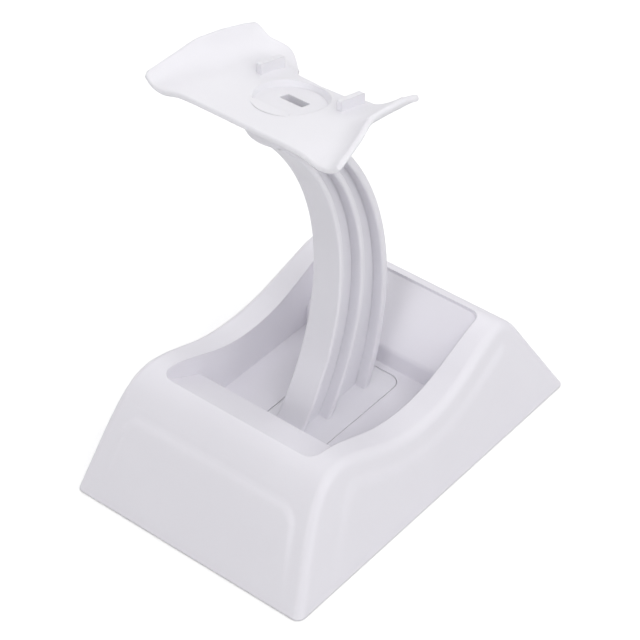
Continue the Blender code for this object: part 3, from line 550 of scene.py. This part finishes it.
def make_flange(centre, level, radius, thickness):
    work = bmesh.new()
    section = Matrix.Translation((0.0, radius + thickness / 2, 0.0)) @ Matrix.Diagonal(
        (ARM_HALF, thickness / 2, 1.0, 1.0))
    bmesh.ops.create_grid(work, x_segments=1, y_segments=1, size=1.0, matrix=section)
    bmesh.ops.bevel(
        work, geom=work.verts[:], offset=ARM_EDGE, segments=4, profile=0.5, affect="VERTICES",
        material=-1)
    swing(work, [*work.verts, *work.edges, *work.faces], centre, level, radius)
    bmesh.ops.recalc_face_normals(work, faces=work.faces)
    return work


def make_web():
    work = bmesh.new()
    for centre, level, radius, thickness in (FLANGE_ARCS[0], FLANGE_ARCS[-1]):
        dot = work.verts.new((0.0, radius + thickness / 2, 0.0))
        swing(work, [dot], centre, level, radius + thickness / 2)
    bmesh.ops.bridge_loops(work, edges=work.edges[:])
    moved_copy(work, work.faces[:], (2 * ARM_WEB_HALF, 0.0, 0.0))
    bmesh.ops.translate(work, verts=work.verts, vec=(-ARM_WEB_HALF, 0.0, 0.0))
    bmesh.ops.recalc_face_normals(work, faces=work.faces)
    return work


def close_holes(item):
    """Fill the facets that the Booleans lose where two flanges run almost together."""
    work = bmesh.new()
    work.from_mesh(item.data)
    bmesh.ops.holes_fill(work, edges=[edge for edge in work.edges if edge.is_boundary])
    bmesh.ops.recalc_face_normals(work, faces=work.faces)
    work.to_mesh(item.data)
    work.free()


arm = as_object("ribbed_arm", make_web())
for arc in FLANGE_ARCS:
    combine(arm, make_flange(*arc), "UNION")
foot_plate = plan_block(PLATE_HALF, PLATE_FRONT, PLATE_BACK, PLATE_CORNER, plate_bottom, FLOOR, 12)
plate_brink = [
    edge for edge in foot_plate.edges if all(vert.co.z > FLOOR - CLEARANCE for vert in edge.verts)]
bmesh.ops.bevel(
    foot_plate, geom=plate_brink, offset=PLATE_EDGE, segments=2, profile=0.5, affect="EDGES",
    material=-1)
foot = as_object("foot_plate", foot_plate)
boss_bottom = plate_bottom - BOSS_LENGTH
for x, along in screw_places:
    combine(foot, post(x, along, BOSS_RADIUS, boss_bottom, FLOOR - BOSS_BELOW_FLOOR), "UNION")
    pilot = post(
        x, along, SCREW_SHANK / 2, boss_bottom - CLEARANCE, FLOOR - PILOT_BELOW_FLOOR, 24)
    combine(foot, pilot, "DIFFERENCE")
combine(arm, used_up(foot), "UNION")

# Head of the arm: an oval boss square to the cradle, dished for the cradle's cup, with a
# socket down its middle for the cradle's spigot.
CRADLE_FRONT = 33.3
CRADLE_HEIGHT = 158.5
CRADLE_PITCH = math.radians(12.2)
CRADLE_THICKNESS = 2.0
POCKET_STATION = 58.1
POCKET_HALF_X = 11.2
POCKET_HALF_Y = 13.8
POCKET_DEPTH = 1.7
POCKET_DRAFT = 1.4
CUP_WALL = 1.6
SLOT_LENGTH = 8.8
SLOT_WIDTH = 4.5
SLOT_SHIFT = 2.1 / math.cos(CRADLE_PITCH)
SPIGOT_WALL = 1.5
SPIGOT_LENGTH = 7.2
HEAD_HALF_X = 12.9
HEAD_HALF_Y = 15.5
HEAD_SKIRT = 5.0
HEAD_BELLY = 5.5
HEAD_NECK = 0.50
HEAD_EDGE = 0.5
HEAD_EDGE_MIDDLE = 0.15
HEAD_STEPS = 14
cup_bottom = -POCKET_DEPTH - CUP_WALL
head_rim = -CRADLE_THICKNESS - CLEARANCE
dish_bottom = cup_bottom - CLEARANCE
spigot_bottom = cup_bottom - SPIGOT_LENGTH
cup_half_x = POCKET_HALF_X - POCKET_DRAFT + CUP_WALL
cup_half_y = POCKET_HALF_Y - POCKET_DRAFT + CUP_WALL


def centre_line(along):
    """Height of the cradle's middle line at a station."""
    return CRADLE_HEIGHT - math.tan(CRADLE_PITCH) * (along - CRADLE_FRONT)


pocket_middle = (0.0, POCKET_STATION, centre_line(POCKET_STATION))
square_to_cradle = Matrix.Translation(pocket_middle) @ Matrix.Rotation(-CRADLE_PITCH, 4, "X")


def oval_stack(rings, sides=72):
    """Solid through ovals, lowest first.

    Each is a half width, a half length and a height square to the cradle.
    """
    work = bmesh.new()
    bmesh.ops.create_circle(work, cap_ends=True, segments=sides, radius=1.0)
    wide, long, level = 1.0, 1.0, 0.0
    cap = work.faces[:]
    for index, (half_x, half_y, height) in enumerate(rings):
        if index > 0:
            below_it = cap
            cap = moved_copy(work, below_it, (0.0, 0.0, 0.0))
            if index > 1:
                bmesh.ops.delete(work, geom=below_it, context="FACES_ONLY")
        verts = [vert for face in cap for vert in face.verts]
        bmesh.ops.scale(work, verts=verts, vec=(half_x / wide, half_y / long, 1.0))
        bmesh.ops.translate(work, verts=verts, vec=(0.0, 0.0, height - level))
        wide, long, level = half_x, half_y, height
    bmesh.ops.transform(work, matrix=square_to_cradle, verts=work.verts)
    bmesh.ops.recalc_face_normals(work, faces=work.faces)
    return work


def slot_block(extra, low, high, corner=0.5):
    """Block round the slot's place, larger than the slot by extra on each side."""
    half_y = SLOT_WIDTH / 2 + extra
    work = plan_block(
        SLOT_LENGTH / 2 + extra, SLOT_SHIFT - half_y, SLOT_SHIFT + half_y, corner, low, high, 4)
    bmesh.ops.transform(work, matrix=square_to_cradle, verts=work.verts)
    return work


head_rings = []
for step in range(HEAD_STEPS + 1):
    turn = math.pi / 2 * (1 - step / HEAD_STEPS)
    share = HEAD_NECK + (1 - HEAD_NECK) * math.cos(turn)
    head_rings.append((
        HEAD_HALF_X * share, HEAD_HALF_Y * share, head_rim - HEAD_SKIRT - HEAD_BELLY * math.sin(turn)))
for inward, down in ((0.0, HEAD_EDGE), (HEAD_EDGE_MIDDLE, HEAD_EDGE_MIDDLE), (HEAD_EDGE, 0.0)):
    head_rings.append((HEAD_HALF_X - inward, HEAD_HALF_Y - inward, head_rim - down))
combine(arm, oval_stack(head_rings), "UNION")
combine(arm, oval_stack([
    (cup_half_x + CLEARANCE, cup_half_y + CLEARANCE, dish_bottom),
    (cup_half_x + CLEARANCE, cup_half_y + CLEARANCE, head_rim + CLEARANCE)]), "DIFFERENCE")
combine(arm, slot_block(
    SPIGOT_WALL + CLEARANCE, spigot_bottom - CLEARANCE, dish_bottom + CLEARANCE), "DIFFERENCE")
close_holes(arm)
# The arm's white is painted a little darker than the base's, as painted shade on its shaded, grooved
# faces.
arm_plastic = moulded_plastic(
    "arm_white_painted_shade", (0.79, 0.78, 0.825), (0.765, 0.755, 0.80), 0.40, (0.40, 0.50), 0.02, 0.7)
place(arm, arm_plastic, "arm_plastic", "arm")

# Screws: four self-tapping screws with domed heads and a cross recess, driven up from under
# the base through its tubes into the bosses of the foot plate.
SCREW_LENGTH = 8.0
THREAD_PITCH = 1.1
THREAD_DEPTH = 0.25
RECESS_LENGTH = 3.2
RECESS_WIDTH = 0.7
RECESS_DEPTH = 1.2


def make_screw(name, x, along):
    """Head, thread and point turned about Z in one spin, with a cross cut into the head."""
    work = bmesh.new()
    radius = SCREW_HEAD / 2
    head_bottom = head_top - SCREW_HEAD_HEIGHT
    outline = [(0.0, head_bottom), (radius * 0.55, head_bottom + 0.12), (radius * 0.85, head_bottom + 0.5),
               (radius, head_bottom + 1.1), (radius, head_top - 0.25), (radius - 0.25, head_top),
               (SCREW_SHANK / 2, head_top)]
    turns = int((SCREW_LENGTH - 2.2) / THREAD_PITCH)
    for turn in range(turns):
        foot = head_top + 0.5 + turn * THREAD_PITCH
        outline.append((SCREW_SHANK / 2 - THREAD_DEPTH, foot))
        outline.append((SCREW_SHANK / 2 - THREAD_DEPTH, foot + THREAD_PITCH * 0.5))
        outline.append((SCREW_SHANK / 2, foot + THREAD_PITCH * 0.75))
    outline.append((SCREW_SHANK / 2 - THREAD_DEPTH, head_top + SCREW_LENGTH - 1.6))
    outline.append((0.0, head_top + SCREW_LENGTH))
    chain = [work.verts.new((reach, 0.0, height)) for reach, height in outline]
    edges = [work.edges.new(pair) for pair in zip(chain, chain[1:])]
    bmesh.ops.spin(
        work, geom=chain + edges, cent=(0, 0, 0), axis=(0, 0, 1), angle=2 * math.pi, steps=36,
        use_merge=True)
    bmesh.ops.remove_doubles(work, verts=work.verts, dist=MERGE_DISTANCE)
    bmesh.ops.recalc_face_normals(work, faces=work.faces)
    screw = as_object(name, work)
    for turn in (0.0, math.pi / 2):
        arm_of_cross = bmesh.new()
        bmesh.ops.create_cube(arm_of_cross, size=1.0, matrix=(
            Matrix.Translation((0.0, 0.0, head_bottom)) @ Matrix.Rotation(turn + math.pi / 4, 4, "Z")
            @ Matrix.Diagonal((RECESS_LENGTH, RECESS_WIDTH, 2 * RECESS_DEPTH, 1.0))))
        combine(screw, arm_of_cross, "DIFFERENCE")
    screw.data.transform(Matrix.Translation((x, along, 0.0)))
    return screw


def brushed_steel(name):
    """Zinc-plated steel: fine grain in the bump and a cloudy passivated tint."""
    material = bpy.data.materials.new(name)
    material.use_nodes = True
    nodes, links = material.node_tree.nodes, material.node_tree.links
    shader = nodes["Principled BSDF"]
    shader.inputs["Metallic"].default_value = 1.0
    coordinates = nodes.new("ShaderNodeTexCoord")
    surface = nodes.new("ShaderNodeGroup")
    surface.node_tree = moulding_group
    surface.inputs["Grain size"].default_value = 0.12
    surface.inputs["Light shade"].default_value = (0.62, 0.62, 0.63, 1.0)
    surface.inputs["Dark shade"].default_value = (0.48, 0.48, 0.46, 1.0)
    surface.inputs["Sheen low"].default_value = 0.24
    surface.inputs["Sheen high"].default_value = 0.42
    bump = nodes.new("ShaderNodeBump")
    bump.inputs["Strength"].default_value = 0.4
    bump.inputs["Distance"].default_value = 0.01 * MM
    links.new(coordinates.outputs["Object"], surface.inputs["Place"])
    links.new(surface.outputs["Colour"], shader.inputs["Base Color"])
    links.new(surface.outputs["Roughness"], shader.inputs["Roughness"])
    links.new(surface.outputs["Grain"], bump.inputs["Height"])
    links.new(bump.outputs["Normal"], shader.inputs["Normal"])
    return material


screw_steel = brushed_steel("zinc_plated_steel")
for number, (x, along) in enumerate(screw_places, 1):
    place(make_screw(f"cross_screw_{number}", x, along), screw_steel, "screw_steel", f"arm_screw_{number}")

# Cradle: a thin saddle moulded to the belly of a small folding drone, its wings turned up into
# lips. An oval pocket, a slot and two ribs locate the drone.
CRADLE_EDGE = 0.8
CRADLE_FOLD_REACH = 4.2
LIP_CORNER = 1.6
REAR_EDGE_ROUNDS = 14
SHOULDER_X = 16.0
KNEE_X = 23.0
CRADLE_SECTIONS = (
    # station, rise at the shoulder and at the knee, fold half width and rise, lip half width
    # and rise; each rise is above the middle line
    (33.3, 0.0, -0.3, 33.6, -3.5, 38.0, 1.0),
    (45.0, 0.4, 0.4, 31.2, 0.6, 35.9, 5.8),
    (56.0, 1.2, 1.8, 29.2, 4.0, 33.4, 10.1),
    (65.0, 1.4, 2.4, 28.6, 4.6, 32.9, 10.4),
    (73.5, 0.8, 2.4, 28.2, 4.8, 32.2, 10.1),
    (81.0, -2.6, 2.4, 28.0, 7.0, 32.8, 8.9),
    (86.0, -4.0, 2.4, 28.0, 8.6, 33.2, 9.0),
)
CRADLE_REAR_EDGE = (
    # half width, station of the rear edge
    (0.0, 73.5), (9.0, 73.5), (15.0, 80.6), (21.5, 85.3), (27.5, 80.2), (38.0, 81.0))


def smooth_between(table, at, column):
    """Monotone curve through one column of a table whose first column is the place."""
    places = [row[0] for row in table]
    values = [row[column] for row in table]
    at = min(max(at, places[0]), places[-1])
    slopes = [(b - a) / (q - p) for a, b, p, q in zip(values, values[1:], places, places[1:])]
    tangents = [slopes[0]]
    for low, high in zip(slopes, slopes[1:]):
        tangents.append(0.0 if low * high <= 0.0 else 2 * low * high / (low + high))
    tangents.append(slopes[-1])
    i = max(k for k in range(len(places) - 1) if places[k] <= at)
    span = places[i + 1] - places[i]
    t = (at - places[i]) / span
    return (
        values[i] * (1 + 2 * t) * (1 - t) ** 2 + tangents[i] * span * t * (1 - t) ** 2
        + values[i + 1] * t * t * (3 - 2 * t) + tangents[i + 1] * span * t * t * (t - 1))


def cradle_section(along, flat_steps, lip_steps):
    """Points (half width, rise) from the middle of the plate to the top of its lip."""
    shoulder, knee, fold_x, fold, lip_x, lip = (
        smooth_between(CRADLE_SECTIONS, along, column) for column in range(1, 7))
    table = ((0.0, 0.0), (SHOULDER_X, shoulder), (KNEE_X, knee), (fold_x, fold))
    corner, top = Vector((fold_x, 0.0, fold)), Vector((lip_x, 0.0, lip))
    reach = min(CRADLE_FOLD_REACH, (top - corner).length / 2)
    bend_start = Vector((fold_x - CRADLE_FOLD_REACH, 0.0, 0.0))
    bend_start.z = smooth_between(table, bend_start.x, 1)
    bend_end = corner + (top - corner).normalized() * reach
    flat = [bend_start.x * step / flat_steps for step in range(flat_steps)]
    points = [Vector((x, 0.0, smooth_between(table, x, 1))) for x in flat]
    points += interpolate_bezier(
        bend_start, bend_start.lerp(corner, 0.6), bend_end.lerp(corner, 0.6), bend_end, lip_steps)
    points += [bend_end.lerp(top, 0.33), bend_end.lerp(top, 0.67), top]
    return points


def corner_setback(section, column):
    """How far the rounded corner of the lip holds a column back from the plate's edge."""
    short = LIP_CORNER - min((section[-1] - section[column]).length, LIP_CORNER)
    return LIP_CORNER - math.sqrt(LIP_CORNER ** 2 - short ** 2)


def cradle_plate(flat_steps=22, lip_steps=9, rows=34):
    """Grid laid on to the saddle: each column runs back to the plate's own rear edge."""
    front_section = cradle_section(CRADLE_FRONT, flat_steps, lip_steps)
    columns = len(front_section) - 1
    work = bmesh.new()
    bmesh.ops.create_grid(work, x_segments=2 * columns, y_segments=rows, size=1.0)
    rear_ends = []
    for column in range(columns + 1):
        end = CRADLE_REAR_EDGE[0][1]
        for _ in range(REAR_EDGE_ROUNDS):
            half_width = cradle_section(end, flat_steps, lip_steps)[column].x
            end = (end + smooth_between(CRADLE_REAR_EDGE, half_width, 1)) / 2
        rear_ends.append(end - corner_setback(cradle_section(end, flat_steps, lip_steps), column))
    for vert in work.verts:
        column = round(abs(vert.co.x) * columns)
        side = -1.0 if vert.co.x < 0.0 else 1.0
        start = CRADLE_FRONT + corner_setback(front_section, column)
        along = start + (rear_ends[column] - start) * (vert.co.y + 1.0) / 2
        point = cradle_section(along, flat_steps, lip_steps)[column]
        vert.co = (side * point.x, along, centre_line(along) + point.z)
    return work


cradle = as_object("saddle_cradle", cradle_plate())
wall = cradle.modifiers.new("wall", "SOLIDIFY")
wall.thickness = CRADLE_THICKNESS
wall.offset = -1.0
wall.use_even_offset = True
rounding = cradle.modifiers.new("rounding", "BEVEL")
rounding.width = CRADLE_EDGE
rounding.segments = 4
rounding.use_clamp_overlap = False
rounding.limit_method = "ANGLE"
rounding.angle_limit = math.radians(50)
apply_modifiers(cradle)

# Fittings of the cradle: under it a cup and a hollow spigot go into the arm's head. On top are
# the pocket that the cup makes, the slot, a low pad at the pocket's front, and two stop ribs.
RIB_X = 16.0
RIB_THICKNESS = 2.0
RIB_FRONT = 61.8
RIB_BACK = 73.3
RIB_FRONT_TOP = 157.5
RIB_BACK_TOP = 154.7
RIB_CURVE = (0.6, 0.6, 0.55)
POCKET_LEAN = 0.6
POCKET_TILT = math.radians(2.6)
PAD_HALF_X = 7.2
PAD_CHORD = 4.8
PAD_PROUD = 0.3
PAD_LAP = 0.6

combine(cradle, oval_stack([
    (cup_half_x, cup_half_y, cup_bottom), (cup_half_x, cup_half_y, -CRADLE_THICKNESS / 2)]), "UNION")
combine(cradle, slot_block(SPIGOT_WALL, spigot_bottom, cup_bottom + CLEARANCE), "UNION")
for side in (-1, 1):
    sunk = CRADLE_THICKNESS / 2
    rib = sweep(rounded_outline([
        (RIB_FRONT, centre_line(RIB_FRONT) - sunk), (RIB_FRONT, RIB_FRONT_TOP, *RIB_CURVE),
        (RIB_BACK, RIB_BACK_TOP, *RIB_CURVE), (RIB_BACK, centre_line(RIB_BACK) - sunk)], 5),
        lambda height: RIB_THICKNESS / 2)
    bmesh.ops.translate(rib, verts=rib.verts, vec=(side * RIB_X, 0.0, 0.0))
    combine(cradle, rib, "UNION")
pocket = oval_stack([
    (POCKET_HALF_X - POCKET_LEAN, POCKET_HALF_Y - POCKET_LEAN, -POCKET_DEPTH),
    (POCKET_HALF_X, POCKET_HALF_Y, 0.0),
    (POCKET_HALF_X + POCKET_LEAN, POCKET_HALF_Y + POCKET_LEAN, POCKET_DEPTH)])
pocket_back = POCKET_STATION + POCKET_HALF_Y
bmesh.ops.rotate(
    pocket, verts=pocket.verts, cent=(0.0, pocket_back, centre_line(pocket_back)),
    matrix=Matrix.Rotation(-POCKET_TILT, 3, "X"))
combine(cradle, pocket, "DIFFERENCE")
pad = as_object("pad", oval_stack([
    (POCKET_HALF_X + PAD_LAP, POCKET_HALF_Y + PAD_LAP, -POCKET_DEPTH - CLEARANCE / 2),
    (POCKET_HALF_X + PAD_LAP, POCKET_HALF_Y + PAD_LAP, PAD_PROUD)]))
pad_sight = plan_block(
    PAD_HALF_X, -2 * POCKET_HALF_Y, PAD_CHORD - POCKET_HALF_Y, 0.6, -2 * POCKET_DEPTH, POCKET_DEPTH)
bmesh.ops.transform(pad_sight, matrix=square_to_cradle, verts=pad_sight.verts)
combine(pad, pad_sight, "INTERSECT")
combine(cradle, used_up(pad), "UNION")
combine(cradle, slot_block(0.0, spigot_bottom - CLEARANCE, POCKET_DEPTH, 0.4), "DIFFERENCE")
# The cradle's white is painted lighter than the base's, as painted light on its upturned top.
cradle_plastic = moulded_plastic(
    "cradle_white_painted_light", (0.835, 0.825, 0.865), (0.81, 0.80, 0.84), 0.40, (0.40, 0.50), 0.02, 0.5)
place(cradle, cradle_plastic, "cradle_plastic", "cradle")

# Rubber feet: four grey moulded feet, each a flange on the table and a plug pressed up into a
# tube of the base, dished below so that it stands on a ring.
FOOT_DISH = 0.35


def make_foot(name, x, along):
    """Dished flange and barbed plug, turned about Z in one spin."""
    work = bmesh.new()
    flange, plug = FOOT_FLANGE / 2, FOOT_PLUG / 2
    top = FOOT_FLANGE_HEIGHT - FOOT_STAND
    outline = [
        (0.0, FOOT_DISH - FOOT_STAND), (flange - 3.2, FOOT_DISH - FOOT_STAND),
        (flange - 2.6, -FOOT_STAND), (flange - 0.45, -FOOT_STAND), (flange - 0.13, 0.13 - FOOT_STAND),
        (flange, 0.45 - FOOT_STAND), (flange, top - 0.3), (flange - 0.3, top), (plug, top),
        (plug, top + 2.0), (plug + 0.15, top + 2.5), (plug, top + 3.0),
        (plug, top + FOOT_PLUG_LENGTH - 0.6), (plug - 0.6, top + FOOT_PLUG_LENGTH),
        (0.0, top + FOOT_PLUG_LENGTH)]
    chain = [work.verts.new((reach, 0.0, height)) for reach, height in outline]
    edges = [work.edges.new(pair) for pair in zip(chain, chain[1:])]
    bmesh.ops.spin(
        work, geom=chain + edges, cent=(0, 0, 0), axis=(0, 0, 1), angle=2 * math.pi, steps=48,
        use_merge=True)
    bmesh.ops.remove_doubles(work, verts=work.verts, dist=MERGE_DISTANCE)
    bmesh.ops.recalc_face_normals(work, faces=work.faces)
    bmesh.ops.translate(work, verts=work.verts, vec=(x, along, 0.0))
    return as_object(name, work)


foot_rubber = moulded_plastic(
    "grey_rubber", (0.26, 0.26, 0.27), (0.20, 0.20, 0.21), 0.30, (0.70, 0.88), 0.04, 0.3)
for number, (x, along) in enumerate(foot_places, 1):
    place(make_foot(f"rubber_pad_{number}", x, along), foot_rubber, "foot_rubber", f"rubber_foot_{number}")

# Studio: the stand is photographed on a white sweep under eight broad lamps from all round, the
# key at the right front. The sweep fades to plain white. None of this is part of the stand.
CAMERA_AZIMUTH = math.radians(39.0975)
CAMERA_ELEVATION = math.radians(40.117)
CAMERA_PLACE = (0.37739, -0.46790, 0.55983)
CAMERA_LENS = 130.2
CAMERA_SENSOR = 36.0
FLOOR_RADIUS = 3.0
FLOOR_SHADE = 0.80
FLOOR_FADE = {"From Min": 0.35, "From Max": 1.0, "To Min": 0.32, "To Max": 1.0}
AMBIENT_STRENGTH = 0.08
LAMPS_LOOK_AT = (0.0, 0.0, 0.07)
STUDIO_LAMPS = (
    # name, place, size across and power
    ("key", (0.9, -0.5, 1.3), 1.0, 8.2),
    ("front", (0.2, -1.5, 0.6), 0.9, 7.2),
    ("left", (-1.4, -0.2, 0.7), 1.0, 7.0),
    ("right", (1.5, 0.0, 0.6), 0.9, 4.8),
    ("top", (0.0, 0.0, 1.7), 1.2, 4.9),
    ("back", (0.2, 1.3, 1.1), 1.0, 5.2),
    ("back_right", (1.0, 0.9, 1.1), 1.0, 4.4),
    ("back_left", (-1.0, 0.9, 1.1), 1.0, 4.8))

camera_data = bpy.data.cameras.new("camera")
camera_data.lens = CAMERA_LENS
camera_data.sensor_width = CAMERA_SENSOR
camera_data.clip_end = 50.0
camera = bpy.data.objects.new("camera", camera_data)
camera.location = CAMERA_PLACE
camera.rotation_euler = (math.pi / 2 - CAMERA_ELEVATION, 0.0, CAMERA_AZIMUTH)
bpy.context.scene.collection.objects.link(camera)
bpy.context.scene.camera = camera
bpy.context.scene.view_settings.view_transform = "Standard"


def area_light(name, location, size, power):
    data = bpy.data.lights.new(name, "AREA")
    data.shape = "DISK"
    data.size = size
    data.energy = power
    lamp = bpy.data.objects.new(name, data)
    lamp.location = location
    view = Vector(LAMPS_LOOK_AT) - Vector(location)
    lamp.rotation_euler = view.to_track_quat("-Z", "Y").to_euler()
    bpy.context.scene.collection.objects.link(lamp)


for lamp_values in STUDIO_LAMPS:
    area_light(*lamp_values)

world = bpy.data.worlds.new("studio")
world.use_nodes = True
nodes, links = world.node_tree.nodes, world.node_tree.links
nodes.clear()
path = nodes.new("ShaderNodeLightPath")
seen = nodes.new("ShaderNodeMath")
seen.operation = "MAXIMUM"
links.new(path.outputs["Is Camera Ray"], seen.inputs[0])
through = nodes.new("ShaderNodeMath")
through.operation = "MAXIMUM"
links.new(path.outputs["Is Glossy Ray"], through.inputs[0])
links.new(path.outputs["Is Transmission Ray"], through.inputs[1])
links.new(through.outputs["Value"], seen.inputs[1])
ambient = nodes.new("ShaderNodeBackground")
ambient.inputs["Color"].default_value = (0.985, 0.985, 1.0, 1.0)
ambient.inputs["Strength"].default_value = AMBIENT_STRENGTH
white = nodes.new("ShaderNodeBackground")
white.inputs["Strength"].default_value = 1.0
mix = nodes.new("ShaderNodeMixShader")
output = nodes.new("ShaderNodeOutputWorld")
links.new(seen.outputs["Value"], mix.inputs["Fac"])
links.new(ambient.outputs["Background"], mix.inputs[1])
links.new(white.outputs["Background"], mix.inputs[2])
links.new(mix.outputs["Shader"], output.inputs["Surface"])
bpy.context.scene.world = world

floor_work = bmesh.new()
bmesh.ops.create_circle(floor_work, cap_ends=True, segments=96, radius=FLOOR_RADIUS)
floor = as_object("floor", floor_work)
floor_material = bpy.data.materials.new("white_sweep")
floor_material.use_nodes = True
nodes, links = floor_material.node_tree.nodes, floor_material.node_tree.links
nodes.clear()
path = nodes.new("ShaderNodeLightPath")
matt = nodes.new("ShaderNodeBsdfDiffuse")
matt.inputs["Color"].default_value = (FLOOR_SHADE, FLOOR_SHADE, FLOOR_SHADE, 1.0)
where = nodes.new("ShaderNodeTexCoord")
distance = nodes.new("ShaderNodeVectorMath")
distance.operation = "LENGTH"
links.new(where.outputs["Object"], distance.inputs[0])
fade = nodes.new("ShaderNodeMapRange")
links.new(distance.outputs["Value"], fade.inputs["Value"])
for name, value in FLOOR_FADE.items():
    fade.inputs[name].default_value = value
shown = nodes.new("ShaderNodeMath")
shown.operation = "MULTIPLY"
links.new(path.outputs["Is Camera Ray"], shown.inputs[0])
links.new(fade.outputs["Result"], shown.inputs[1])
lift = nodes.new("ShaderNodeEmission")
links.new(shown.outputs["Value"], lift.inputs["Strength"])
lift.inputs["Color"].default_value = (1.0, 1.0, 1.0, 1.0)
both = nodes.new("ShaderNodeAddShader")
output = nodes.new("ShaderNodeOutputMaterial")
links.new(matt.outputs["BSDF"], both.inputs[0])
links.new(lift.outputs["Emission"], both.inputs[1])
links.new(both.outputs["Shader"], output.inputs["Surface"])
floor.data.materials.append(floor_material)
